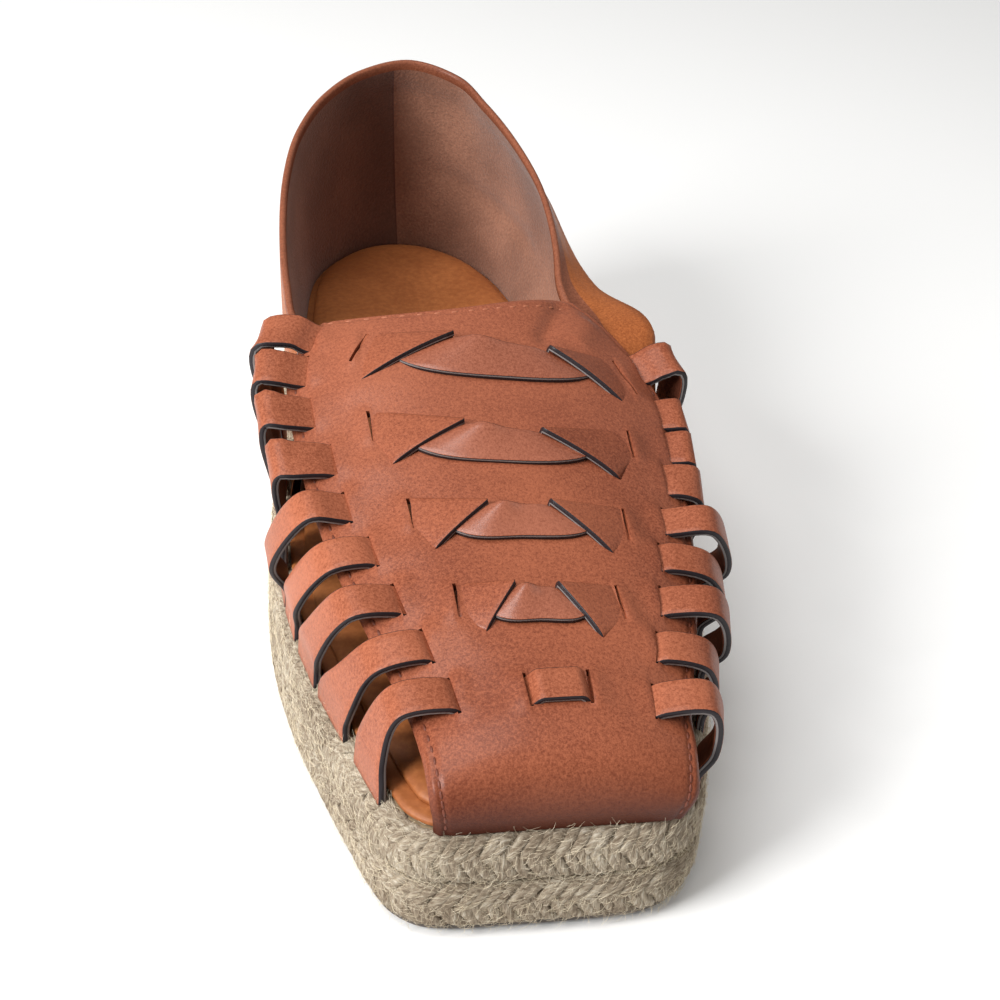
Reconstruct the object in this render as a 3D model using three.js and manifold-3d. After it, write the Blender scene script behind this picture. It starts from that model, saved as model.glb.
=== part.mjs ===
// A woven leather slip-on with a square toe on a plaited jute platform, a left shoe.
// Millimetres, +Z up, toe towards -Y, inner (medial) side towards -X, floor at z = 0.
import * as THREE from 'three';
import Module from 'manifold-3d';

// Main sizes
const GAP = 0.3;
const OUTSOLE_TOP = 2.2;
const JUTE_TOP = 26;
const HEEL_RISE = 3;
const TOE_SPRING = 1;
const SPRING_START = -95;
const SPRING_END = -131;
const RISE_START = -30;
const RISE_END = 80;
const WALL = 1.9;
const PANEL_WALL = 2.0;
const STRAP_WIDTH = 8.4;
const STRAP_THICK = 1.9;
const RIBBON_THICK = 1.5;
const RING_TOP = JUTE_TOP + GAP + 1.6;
const WALL_INSET = 5.2;

// Points along each side of the outline
const SIDE_POINTS = 38;
const LENGTH_DIVISIONS = 2000;

// Outline of the platform: distance along the foot, inner edge, outer edge
const OUTLINE = [
  { y: -131.2, inner: -12, outer: 9 },
  { y: -130.4, inner: -24.5, outer: 19.5 },
  { y: -127.2, inner: -31.4, outer: 27 },
  { y: -121, inner: -35.6, outer: 32.6 },
  { y: -111.5, inner: -38.5, outer: 36.6 },
  { y: -94, inner: -43.2, outer: 42 },
  { y: -72, inner: -48.2, outer: 47.8 },
  { y: -48, inner: -51, outer: 51.4 },
  { y: -22, inner: -50.4, outer: 51.4 },
  { y: 5, inner: -47.6, outer: 48.6 },
  { y: 32, inner: -44, outer: 44.4 },
  { y: 60, inner: -41, outer: 39.6 },
  { y: 86, inner: -38.2, outer: 35.8 },
  { y: 104, inner: -34, outer: 31.4 },
  { y: 118, inner: -25.8, outer: 23.8 },
  { y: 127, inner: -15.6, outer: 13.6 },
  { y: 130.6, inner: -6, outer: 4.4 },
];

// Side of the jute from bottom to top: height, inset from the outline (two plaits, one on the
// other, the upper one rolled in over the top edge)
const JUTE_SIDE = [
  { z: 2.5, inset: 2.2 },
  { z: 4.2, inset: 0.7 },
  { z: 8.2, inset: 0 },
  { z: 12.2, inset: 0.7 },
  { z: 13.9, inset: 2.2 },
  { z: 15.6, inset: 0.9 },
  { z: 18.8, inset: 0.3 },
  { z: 22, inset: 0.8 },
  { z: 24.4, inset: 2 },
  { z: 26, inset: 4.4 },
];

const OUTSOLE_SIDE = [
  { z: 0, inset: 1.9 },
  { z: 0.5, inset: 1.3 },
  { z: OUTSOLE_TOP, inset: 1.3 },
];

const INSOLE_SIDE = [
  { z: JUTE_TOP + GAP, inset: 11.2 },
  { z: RING_TOP + GAP, inset: 11.2 },
  { z: RING_TOP + GAP, inset: 9.2 },
  { z: 30.6, inset: 9.2 },
  { z: 31.2, inset: 10.2 },
];

// Turned-under margin of the upper, between the jute and the insole
const RING_LOOP = [
  { z: JUTE_TOP + GAP, inset: 10.8 },
  { z: JUTE_TOP + GAP, inset: 4.6 },
  { z: RING_TOP, inset: 4.6 },
  { z: RING_TOP, inset: 10.8 },
];

// Vamp panel from its top edge down over the toe: centre line place, half widths to each
// edge, crown (fall from the centre to the edge), tilt (inner side up), skew (inner side back)
const PANEL = [
  { y: 6.6, z: 75, inner: 16, outer: 22, crown: 1.4, tilt: 0.07, skew: 0.1 },
  { y: 3, z: 74.4, inner: 26, outer: 33, crown: 3.8, tilt: 0.07, skew: 0.1 },
  { y: -0.6, z: 73.6, inner: 32, outer: 39, crown: 5.6, tilt: 0.07, skew: 0.1 },
  { y: -5, z: 72.6, inner: 38.6, outer: 44, crown: 7.6, tilt: 0.07, skew: 0.1 },
  { y: -11, z: 71.3, inner: 43.4, outer: 47.4, crown: 9.2, tilt: 0.07, skew: 0.1 },
  { y: -20, z: 69.2, inner: 46.5, outer: 49.5, crown: 10, tilt: 0.06, skew: 0.1 },
  { y: -42, z: 63, inner: 45, outer: 47.5, crown: 9.5, tilt: 0.05, skew: 0.08 },
  { y: -66, z: 57, inner: 41, outer: 43, crown: 8.5, tilt: 0.03, skew: 0.06 },
  { y: -90, z: 51.8, inner: 34.5, outer: 36.5, crown: 6.5, tilt: 0.02, skew: 0.05 },
  { y: -108, z: 47.8, inner: 29.5, outer: 31, crown: 4.5, tilt: 0, skew: 0.03 },
  { y: -118.5, z: 45, inner: 27.8, outer: 29.4, crown: 3, tilt: 0, skew: 0.01 },
  { y: -124.6, z: 41, inner: 27.2, outer: 28.6, crown: 2, tilt: 0, skew: 0 },
  { y: -127.2, z: 35.5, inner: 26.6, outer: 27.4, crown: 1, tilt: 0, skew: 0 },
  { y: -127.6, z: 30.5, inner: 26, outer: 26, crown: 0, tilt: 0, skew: 0 },
  { y: -127.6, z: 26.5, inner: 25.6, outer: 24.6, crown: 0, tilt: 0, skew: 0 },
];
const CROWN_POWER = 2.2;
const PANEL_STEPS = 30;
const PANEL_ACROSS = 16;
const PANEL_NUDGE = 0.004;
const HALVINGS = 40;

// Side straps, one row each: place of the slit on each side, place of the foot on the jute,
// how far the strap stands off the margin on each side and how far it swells past its foot
const STRAPS = [
  {
    inY: -2, inX: 38.1, outY: -11, outX: 42.3,
    foot: -1.5, inRise: 1.4, outRise: 5, swell: 6.5,
  },
  {
    inY: -12.6, inX: 41.1, outY: -24.5, outX: 42.5,
    foot: -12.9, inRise: 1.4, outRise: 3.2, swell: 6.5,
  },
  {
    inY: -25.2, inX: 40.9, outY: -35, outX: 42.6,
    foot: -25.2, inRise: 1.6, outRise: 2, swell: 6.5,
  },
  {
    inY: -40.4, inX: 36.9, outY: -46.2, outX: 39.2,
    foot: -37.8, inRise: 1.4, outRise: 1.4, swell: 6,
  },
  {
    inY: -54.3, inX: 33.8, outY: -60.2, outX: 35.6,
    foot: -50.8, inRise: 4.2, outRise: 4.2, swell: 6.6,
  },
  {
    inY: -67.8, inX: 30, outY: -72, outX: 31.6,
    foot: -64.8, inRise: 1.6, outRise: 1.6, swell: 3.6,
  },
  {
    inY: -81.9, inX: 26.2, outY: -84.8, outX: 28.7,
    foot: -79.9, inRise: 4.2, outRise: 4.2, swell: 5.6,
  },
  {
    inY: -94.9, inX: 21.8, outY: -97.9, outX: 24.7,
    foot: -94.4, inRise: 1.6, outRise: 1.6, swell: 3.4,
  },
  {
    inY: -107.8, inX: 18.3, outY: -112, outX: 21,
    foot: -112.9, inRise: 4.2, outRise: 4.2, swell: 4.8,
  },
];
const STRAP_STEPS = 11;
const STRAP_SINK = 0.4;
const STRAP_LEAVE = 0.05;
const SWELL_SHARE = 0.45;
const FOOT_STAND = 4;
const FOOT_SINK = 1;
const TURN_START = 0.3;
const TURN_END = 0.8;

// Ribbons laced through the panel, one row each: place, ends, width, whether it turns over
const RIBBONS = [
  { name: 'ribbon_1', y: -16.8, inner: -28.4, outer: 35.4, width: 9.4, twisted: true },
  { name: 'ribbon_2', y: -42.4, inner: -26.6, outer: 30.2, width: 9.2, twisted: true },
  { name: 'ribbon_3', y: -67.4, inner: -20.6, outer: 23, width: 9, twisted: true },
  { name: 'ribbon_4', y: -91.2, inner: -13.4, outer: 16.8, width: 8.8, twisted: true },
  { name: 'toe_bar', y: -110.2, inner: -5.4, outer: 8, width: 7.6, twisted: false },
];
const RIBBON_STEPS = 22;
const TWIST_FLAT = 0.5;
const TWIST_START = 0.03;
const TWIST_END = 0.33;
const RIBBON_CLEAR = 0.55;
const DIP_RUN = 2.4;
const DIP_DEPTH = 2.2;
const SLOT_DEPTH = 12;
const SLOT_WIDTH = 3.4;
const SLOT_SPARE = 0.6;

// Top line of the quarter from the inner vamp corner round the heel to the outer one
const TOP_LINE = [
  { x: -36.5, y: 17, z: 63.6 },
  { x: -39.2, y: 31, z: 67.2 },
  { x: -40, y: 50, z: 73 },
  { x: -38.8, y: 72, z: 79.6 },
  { x: -34.4, y: 94, z: 84.6 },
  { x: -25.4, y: 109, z: 88.6 },
  { x: -13, y: 117.5, z: 91.8 },
  { x: 0, y: 120, z: 93.2 },
  { x: 12, y: 116, z: 91.8 },
  { x: 20.6, y: 104, z: 88.6 },
  { x: 26.8, y: 84, z: 84.6 },
  { x: 29.8, y: 62, z: 80 },
  { x: 30.4, y: 42, z: 75 },
  { x: 31, y: 26, z: 70 },
  { x: 33.4, y: 13, z: 65.6 },
];
const QUARTER_FRONT = -12;
const QUARTER_STEPS = 38;
const QUARTER_RISE = 7;
const QUARTER_SINK = 0.7;
const QUARTER_TUCK = 40;
const TUCK_SHARE = 0.8;
const INNER_SWELL = 5;
const OUTER_SWELL = 6;
const HUMP_SWELL = 20;
const HUMP_LEAN = 1.6;
const BACK_SWELL = 2.6;
const HUMP_BACK = 75;
const HUMP_PEAK = 30;
const HUMP_FRONT = 6;
const HUMP_LOSS = 0.4;

const wasm = await Module();
wasm.setup();

// Soft step from 0 to 1 as v goes from one value to another, rising or falling
const smooth = (from, to, v) => THREE.MathUtils.smoothstep((v - from) / (to - from), 0, 1);

// Height of a point of the platform after toe spring and heel rise
function lift(y, z) {
  const ahead = Math.max(0, (SPRING_START - y) / (SPRING_START - SPRING_END));
  const rise = HEEL_RISE * smooth(RISE_START, RISE_END, y) * Math.min(1, z / JUTE_TOP);
  return z + TOE_SPRING * ahead * ahead + rise;
}

// Smooth value between the rows of a table, at a place from 0 to 1
function along(rows, key, place) {
  const last = rows.length - 1;
  const at = THREE.MathUtils.clamp(place, 0, 1) * last;
  const i = Math.min(Math.floor(at), last - 1);
  const value = (k) => rows[THREE.MathUtils.clamp(k, 0, last)][key];
  const t = at - i;
  const a = value(i - 1);
  const b = value(i);
  const c = value(i + 1);
  const d = value(i + 2);
  const slope0 = (c - a) / 2;
  const slope1 = (d - b) / 2;
  const t2 = t * t;
  const t3 = t2 * t;
  return (2 * t3 - 3 * t2 + 1) * b + (t3 - 2 * t2 + t) * slope0
    + (3 * t2 - 2 * t3) * c + (t3 - t2) * slope1;
}

// One closed loop of outline points: inner side from toe to heel, then outer side back
function makeOutline() {
  const side = (key) => OUTLINE.map((row) => new THREE.Vector3(row[key], row.y, 0));
  const loop = [...side('inner'), ...side('outer').reverse()];
  const curve = new THREE.CatmullRomCurve3(loop, true, 'centripetal');
  curve.arcLengthDivisions = LENGTH_DIVISIONS;
  const count = 2 * SIDE_POINTS;
  const points = [];
  for (let i = 0; i < count; i += 1) {
    const u = i / count;
    const tangent = curve.getTangentAt(u);
    const point = curve.getPointAt(u);
    points.push({ x: point.x, y: point.y, nx: tangent.y, ny: -tangent.x });
  }
  return points;
}

const outline = makeOutline();

// Inward offset of outline point i, at a height
function edgePoint(i, inset, z) {
  const p = outline[(i + outline.length) % outline.length];
  const y = p.y + p.ny * inset;
  return new THREE.Vector3(p.x + p.nx * inset, y, lift(y, z));
}

// Offset of the outline at a place along one side
function edgeAt(side, y, inset, z) {
  const list = [];
  for (let i = 0; i < outline.length; i += 1) {
    if (Math.sign(outline[i].x) === side) list.push(edgePoint(i, inset, z));
  }
  list.sort((p, q) => p.y - q.y);
  const after = Math.max(1, list.findIndex((p) => p.y >= y));
  const [low, high] = [list[after - 1], list[after]];
  return low.clone().lerp(high, (y - low.y) / (high.y - low.y));
}

// Solid from a list of points and triangles
function solidFrom(points, triangles) {
  const vertices = new Float32Array(points.flatMap((p) => [p.x, p.y, p.z]));
  const mesh = new wasm.Mesh({
    numProp: 3,
    vertProperties: vertices,
    triVerts: new Uint32Array(triangles.flat()),
  });
  const solid = new wasm.Manifold(mesh);
  return solid.volume() < 0 ? solidFrom(points, triangles.map(([a, b, c]) => [a, c, b])) : solid;
}

// Two triangles of a quad
const quad = (a, b, c, d) => [[a, b, c], [a, c, d]];

// Slab with the shoe's outline and a stepped side, closed by ladders across its width
function slab(side) {
  const count = outline.length;
  const points = [];
  const triangles = [];
  for (const row of side) {
    for (let i = 0; i < count; i += 1) points.push(edgePoint(i, row.inset, row.z));
  }
  for (let r = 0; r + 1 < side.length; r += 1) {
    for (let i = 0; i < count; i += 1) {
      const j = (i + 1) % count;
      const low = r * count;
      triangles.push(...quad(low + i, low + j, low + count + j, low + count + i));
    }
  }
  const top = (side.length - 1) * count;
  for (let i = 0; i + 1 < SIDE_POINTS; i += 1) {
    const a = i;
    const b = i + 1;
    const c = count - 2 - i;
    const d = count - 1 - i;
    triangles.push(...quad(a, d, c, b), ...quad(top + a, top + b, top + c, top + d));
  }
  return solidFrom(points, triangles);
}

// Closed loop of a section carried round the outline
function ring(loop) {
  const count = outline.length;
  const size = loop.length;
  const points = [];
  const triangles = [];
  for (let i = 0; i < count; i += 1) {
    for (const row of loop) points.push(edgePoint(i, row.inset, row.z));
  }
  for (let i = 0; i < count; i += 1) {
    const next = ((i + 1) % count) * size;
    for (let k = 0; k < size; k += 1) {
      const m = (k + 1) % size;
      triangles.push(...quad(i * size + k, next + k, next + m, i * size + m));
    }
  }
  return solidFrom(points, triangles);
}

// Point of the vamp panel's outer face: place from top edge to toe, u from -1 to 1 across
function panelFace(place, u) {
  const half = along(PANEL, u < 0 ? 'inner' : 'outer', place);
  const x = half * u;
  const fall = along(PANEL, 'crown', place) * Math.abs(u) ** CROWN_POWER;
  const y = along(PANEL, 'y', place) - along(PANEL, 'skew', place) * x;
  const z = along(PANEL, 'z', place) - fall - along(PANEL, 'tilt', place) * x;
  return new THREE.Vector3(x, y, z + lift(y, 0));
}

// Panel point with its directions: along the foot, across and out of the face
function panelFrame(place, u) {
  const origin = panelFace(place, u);
  const back = panelFace(place - PANEL_NUDGE, u).sub(panelFace(place + PANEL_NUDGE, u)).normalize();
  const across = panelFace(place, u + PANEL_NUDGE).sub(panelFace(place, u - PANEL_NUDGE)).normalize();
  const out = across.clone().cross(back).normalize();
  return { origin, back, across, out };
}

const panelPoint = (place, u, height) => {
  const frame = panelFrame(place, u);
  return frame.origin.addScaledVector(frame.out, height);
};

// Place and u of the panel at a given foot station and distance across
function panelAt(x, y) {
  let low = 0;
  let high = 1;
  for (let i = 0; i < HALVINGS; i += 1) {
    const mid = (low + high) / 2;
    const centre = along(PANEL, 'y', mid) - along(PANEL, 'skew', mid) * x;
    if (centre > y) low = mid;
    else high = mid;
  }
  const half = along(PANEL, x < 0 ? 'inner' : 'outer', low);
  return { place: low, u: x / half };
}

// Shell between an outer and an inner grid of points
function shell(outer, inner) {
  const rows = outer.length;
  const cols = outer[0].length;
  const points = [...outer.flat(), ...inner.flat()];
  const far = rows * cols;
  const id = (r, c) => r * cols + c;
  const triangles = [];
  for (let r = 0; r + 1 < rows; r += 1) {
    for (let c = 0; c + 1 < cols; c += 1) {
      const [a, b, d, e] = [id(r, c), id(r, c + 1), id(r + 1, c + 1), id(r + 1, c)];
      triangles.push(...quad(a, b, d, e), ...quad(far + a, far + e, far + d, far + b));
    }
  }
  const wall = (a, b) => triangles.push(...quad(b, a, far + a, far + b));
  for (let c = 0; c + 1 < cols; c += 1) {
    wall(id(0, c), id(0, c + 1));
    wall(id(rows - 1, c + 1), id(rows - 1, c));
  }
  for (let r = 0; r + 1 < rows; r += 1) {
    wall(id(r + 1, 0), id(r, 0));
    wall(id(r, cols - 1), id(r + 1, cols - 1));
  }
  return solidFrom(points, triangles);
}

function makePanel() {
  const grid = (height) => Array.from({ length: PANEL_STEPS + 1 }, (_, r) => (
    Array.from({ length: PANEL_ACROSS + 1 }, (__, c) => (
      panelPoint(r / PANEL_STEPS, (2 * c) / PANEL_ACROSS - 1, height)))));
  return shell(grid(0), grid(-PANEL_WALL));
}

// Flat strip along a list of stations, each with a centre, a width direction and a face direction
function strip(stations, width, thick) {
  const points = [];
  const triangles = [];
  for (const { at, wide, face } of stations) {
    for (const [w, t] of [[-1, -1], [1, -1], [1, 1], [-1, 1]]) {
      points.push(at.clone().addScaledVector(wide, (w * width) / 2)
        .addScaledVector(face, (t * thick) / 2));
    }
  }
  const sides = 4;
  const last = (stations.length - 1) * sides;
  for (let i = 0; i + 1 < stations.length; i += 1) {
    for (let k = 0; k < sides; k += 1) {
      const m = (k + 1) % sides;
      const a = i * sides;
      triangles.push(...quad(a + k, a + m, a + sides + m, a + sides + k));
    }
  }
  triangles.push(...quad(3, 2, 1, 0), ...quad(last, last + 1, last + 2, last + 3));
  return solidFrom(points, triangles);
}

// Side strap: out of its slit, over the panel's margin, round and down into the margin ring
function makeStrap(row, side) {
  const slitX = side < 0 ? -row.inX : row.outX;
  const slitY = side < 0 ? row.inY : row.outY;
  const { place, u } = panelAt(slitX, slitY);
  const sit = STRAP_THICK / 2 - STRAP_SINK;
  const slit = panelFrame(place, u);
  const edge = panelFrame(place, side);
  const foot = edgeAt(side, row.foot, WALL_INSET + STRAP_THICK / 2, RING_TOP - FOOT_SINK);
  const swell = foot.clone().lerp(edge.origin, SWELL_SHARE);
  swell.x = foot.x + side * row.swell;
  const path = new THREE.CatmullRomCurve3([
    slit.origin.clone().addScaledVector(slit.out, -PANEL_WALL / 2),
    panelPoint(place, u + side * STRAP_LEAVE, sit),
    edge.origin.clone().addScaledVector(edge.out, sit + (side < 0 ? row.inRise : row.outRise)),
    swell,
    foot.clone().setZ(foot.z + FOOT_STAND),
    foot,
  ], false, 'centripetal');
  const stations = [];
  for (let i = 0; i <= STRAP_STEPS; i += 1) {
    const t = i / STRAP_STEPS;
    const run = path.getTangentAt(t).multiplyScalar(side);
    const level = new THREE.Vector3(0, 1, 0);
    const wide = slit.back.clone().lerp(level, smooth(TURN_START, TURN_END, t));
    const face = run.clone().cross(wide).normalize();
    stations.push({ at: path.getPointAt(t), wide: face.clone().cross(run).normalize(), face });
  }
  return strip(stations, STRAP_WIDTH, STRAP_THICK);
}

// Stations of one ribbon: up out of a slot, a half twist, the turned face, a half twist, down
function ribbonStations(row) {
  const stations = [];
  for (let i = 0; i <= RIBBON_STEPS; i += 1) {
    const t = i / RIBBON_STEPS;
    const x = THREE.MathUtils.lerp(row.inner, row.outer, t);
    const { place, u } = panelAt(x, row.y - along(PANEL, 'skew', 0) * x);
    const frame = panelFrame(place, u);
    const near = Math.min(x - row.inner, row.outer - x);
    const dip = DIP_DEPTH * (1 - smooth(0, DIP_RUN, near));
    const half = Math.min(t, 1 - t);
    const turn = row.twisted ? Math.PI * smooth(TWIST_START, TWIST_END, half) : 0;
    const stand = TWIST_FLAT * Math.sin(turn) * (row.width / 2);
    const height = RIBBON_CLEAR + RIBBON_THICK / 2 + stand - dip;
    const wide = frame.back.clone().multiplyScalar(Math.cos(turn))
      .addScaledVector(frame.out, TWIST_FLAT * Math.sin(turn));
    const face = frame.across.clone().cross(wide).normalize();
    stations.push({ at: frame.origin.addScaledVector(frame.out, height), wide, face });
  }
  return stations;
}

// Slot of the panel under each end of a ribbon
function makeSlot(row, end) {
  const inward = end === 'inner' ? 1 : -1;
  const x = row[end] + inward * (SLOT_WIDTH / 2 - SLOT_SPARE);
  const { place, u } = panelAt(x, row.y - along(PANEL, 'skew', 0) * x);
  const frame = panelFrame(place, u);
  const centre = frame.origin.clone();
  const ends = [-SLOT_DEPTH / 2, SLOT_DEPTH / 2].map((depth) => ({
    at: centre.clone().addScaledVector(frame.out, depth),
    wide: frame.back,
    face: frame.across,
  }));
  return strip(ends, row.width + 2 * GAP, SLOT_WIDTH);
}

// Quarter: outer and inner grids between the margin ring and the top line
function makeQuarter() {
  const corner = (side, y) => {
    const { place } = panelAt(side * QUARTER_TUCK, y);
    return panelPoint(place, side * TUCK_SHARE, -PANEL_WALL / 2);
  };
  const line = TOP_LINE.map((p) => new THREE.Vector3(p.x, p.y, p.z));
  const top = new THREE.CatmullRomCurve3([
    corner(-1, QUARTER_FRONT),
    corner(-1, 0),
    ...line,
    corner(1, 0),
    corner(1, QUARTER_FRONT),
  ], false, 'centripetal');
  const places = outline.map((p, i) => i).filter((i) => outline[i].y > QUARTER_FRONT);
  const feet = places.map((i) => edgePoint(i, WALL_INSET, RING_TOP - QUARTER_SINK));
  const base = new THREE.CatmullRomCurve3(feet);
  const outer = [];
  const inner = [];
  for (let s = 0; s <= QUARTER_STEPS; s += 1) {
    const t = s / QUARTER_STEPS;
    const low = base.getPointAt(t);
    const high = top.getPointAt(t);
    const tangent = base.getTangentAt(t);
    const out = new THREE.Vector3(-tangent.y, tangent.x, 0).normalize();
    const turned = Math.abs(out.y);
    const fade = 1 - HUMP_LOSS * smooth(HUMP_FRONT, QUARTER_FRONT, low.y);
    const hump = smooth(HUMP_BACK, HUMP_PEAK, low.y) * fade;
    const outerSwell = THREE.MathUtils.lerp(OUTER_SWELL, HUMP_SWELL, hump);
    const sideSwell = out.x < 0 ? INNER_SWELL : outerSwell;
    const swell = THREE.MathUtils.lerp(sideSwell, BACK_SWELL, turned);
    const lean = out.x < 0 ? 1 : 1 + HUMP_LEAN * hump;
    const outerColumn = [];
    const innerColumn = [];
    for (let k = 0; k <= QUARTER_RISE; k += 1) {
      const q = k / QUARTER_RISE;
      const bow = swell * Math.sin(Math.PI * q ** lean);
      const point = low.clone().lerp(high, q).addScaledVector(out, bow);
      outerColumn.push(point);
      innerColumn.push(point.clone().addScaledVector(out, -WALL));
    }
    outer.push(outerColumn);
    inner.push(innerColumn);
  }
  return shell(outer, inner);
}

function makeUpper() {
  let upper = makePanel();
  for (const row of STRAPS) {
    upper = upper.add(makeStrap(row, -1)).add(makeStrap(row, 1));
  }
  upper = upper.add(makeQuarter()).add(ring(RING_LOOP));
  for (const row of RIBBONS) {
    upper = upper.subtract(makeSlot(row, 'inner')).subtract(makeSlot(row, 'outer'));
  }
  return upper;
}

// Named mesh of a solid
function meshOf(name, solid, color, roughness) {
  const data = solid.getMesh();
  const geometry = new THREE.BufferGeometry();
  geometry.setAttribute('position', new THREE.Float32BufferAttribute(data.vertProperties, 3));
  geometry.setIndex([...data.triVerts]);
  geometry.computeVertexNormals();
  const material = new THREE.MeshStandardMaterial({ color, roughness, metalness: 0 });
  const mesh = new THREE.Mesh(geometry, material);
  mesh.name = name;
  return mesh;
}

const LEATHER = 0xb2684e;
const JUTE = 0xbeaa8c;
const TAN = 0x965a2d;
const RUBBER = 0x3a332e;

const shoe = new THREE.Group();
shoe.name = 'espadrille';
shoe.add(meshOf('outsole', slab(OUTSOLE_SIDE), RUBBER, 0.8));
shoe.add(meshOf('jute_sole', slab(JUTE_SIDE), JUTE, 0.95));
shoe.add(meshOf('insole', slab(INSOLE_SIDE), TAN, 0.6));
shoe.add(meshOf('upper', makeUpper(), LEATHER, 0.45));
for (const row of RIBBONS) {
  shoe.add(meshOf(row.name, strip(ribbonStations(row), row.width, RIBBON_THICK), LEATHER, 0.4));
}

// Origin under the middle of the shoe's box, on the floor
const box = new THREE.Box3().setFromObject(shoe);
const centre = box.getCenter(new THREE.Vector3());
shoe.position.set(-centre.x, -centre.y, -box.min.z);

export default shoe;
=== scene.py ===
# %% [markdown]
# # A woven leather espadrille, dressed in Blender
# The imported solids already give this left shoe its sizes: a platform of rubber and jute, an
# insole, a woven upper, four ribbons and a toe bar. This lesson replaces each solid by finished
# pieces of the same form and writes their finishes with nodes. Everything is laid in the frame
# of the solids, in metres: +Z is up, the toe points to -Y, the inner side of the foot to -X.

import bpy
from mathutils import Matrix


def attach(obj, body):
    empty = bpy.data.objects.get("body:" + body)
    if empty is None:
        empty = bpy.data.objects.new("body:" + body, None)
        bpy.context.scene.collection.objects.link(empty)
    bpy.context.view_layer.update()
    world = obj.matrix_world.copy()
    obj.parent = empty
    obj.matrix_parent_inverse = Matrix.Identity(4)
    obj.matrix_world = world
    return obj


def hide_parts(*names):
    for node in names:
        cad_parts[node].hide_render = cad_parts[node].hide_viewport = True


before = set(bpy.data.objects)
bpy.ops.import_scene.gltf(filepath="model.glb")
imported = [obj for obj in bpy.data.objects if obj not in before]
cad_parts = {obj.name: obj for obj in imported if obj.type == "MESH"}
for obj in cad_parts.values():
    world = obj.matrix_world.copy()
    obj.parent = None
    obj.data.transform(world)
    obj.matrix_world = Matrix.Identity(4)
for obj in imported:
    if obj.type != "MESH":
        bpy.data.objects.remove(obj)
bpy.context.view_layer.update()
print("solids:", ", ".join(sorted(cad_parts)))

# %% Tools and units
import math
from collections import namedtuple

import bpy
import numpy as np
from mathutils import Matrix, Quaternion, Vector

MM = 0.001
chance = np.random.default_rng(7)


def deselect():
    bpy.ops.object.select_all(action="DESELECT")


print("shapes are worked out in millimetres and laid in metres")

# %% [markdown]
# ## Camera and light first
# The photograph looks down at the toe from close by, so its perspective is strong. The camera
# keeps that place and only turns towards the shoe, with a longer lens, which changes no angle to
# it. Large soft lamps, brightest on the inner side, give the wide highlights that smooth leather
# shows. The pale floor comes last.

# %% Camera
CAMERA_PLACE = Vector((-0.0766, -0.3678, 0.2723))
CAMERA_AIM = Vector((0.0068, -0.0171, 0.030))
CAMERA_ROLL = math.radians(5.66)
CAMERA_LENS = 62.6
CLIP_START = 0.01

deselect()
bpy.ops.object.camera_add(location=CAMERA_PLACE)
camera = bpy.context.object
camera.name = "photo_camera"
camera.rotation_mode = "QUATERNION"
level = (CAMERA_AIM - CAMERA_PLACE).to_track_quat("-Z", "Y")
camera.rotation_quaternion = level @ Quaternion((0, 0, 1), CAMERA_ROLL)
camera.data.lens = CAMERA_LENS
camera.data.clip_start = CLIP_START
bpy.context.scene.camera = camera
print("camera", tuple(round(v, 4) for v in CAMERA_PLACE), "lens", CAMERA_LENS)

# %% Lamps and sky
Lamp = namedtuple("Lamp", "name place size watts")
LAMPS = [
    Lamp("key_lamp", (-0.8, -0.4, 0.6), 0.42, 12.2),
    Lamp("top_lamp", (-0.36, -0.02, 1.2), 0.8, 8.8),
    Lamp("side_lamp", (0.9, 0.2, 0.8), 0.7, 0.6),
]
LAMP_AIM = Vector((0, 0, 0.04))
SKY_COLOUR = (1.0, 0.99, 0.97, 1)
SKY_STRENGTH = 0.25

for lamp in LAMPS:
    bpy.ops.object.light_add(type="AREA", location=lamp.place)
    made = bpy.context.object
    made.name = lamp.name
    made.data.size = lamp.size
    made.data.energy = lamp.watts
    toward = LAMP_AIM - Vector(lamp.place)
    made.rotation_euler = toward.to_track_quat("-Z", "Y").to_euler()

world = bpy.data.worlds.new("studio_sky")
world.use_nodes = True
sky = world.node_tree.nodes["Background"].inputs
sky["Color"].default_value = SKY_COLOUR
sky["Strength"].default_value = SKY_STRENGTH
bpy.context.scene.world = world
bpy.context.scene.view_settings.view_transform = "Standard"
print(len(LAMPS), "lamps")

# %% [markdown]
# ## Writing finishes as expressions
# A finish is a node tree, and long trees are hard to read as lists of links. `Wire` wraps one
# socket, so that sums of patterns are written as plain arithmetic, and `Finish.node` adds any
# other node from its type, its settings and its sockets.

# %% Wire and Finish
GAMMA = 2.2


class Wire:
    """One output socket of a finish, which takes part in arithmetic."""

    def __init__(self, finish, socket):
        self.finish = finish
        self.socket = socket

    def __add__(self, other):
        return self.finish.math("ADD", self, other)

    def __sub__(self, other):
        return self.finish.math("SUBTRACT", self, other)

    def __rsub__(self, other):
        return self.finish.math("SUBTRACT", other, self)

    def __mul__(self, other):
        return self.finish.math("MULTIPLY", self, other)

    def __gt__(self, other):
        return self.finish.math("GREATER_THAN", self, other)

    def __lt__(self, other):
        return self.finish.math("LESS_THAN", self, other)

    __radd__ = __add__
    __rmul__ = __mul__


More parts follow.
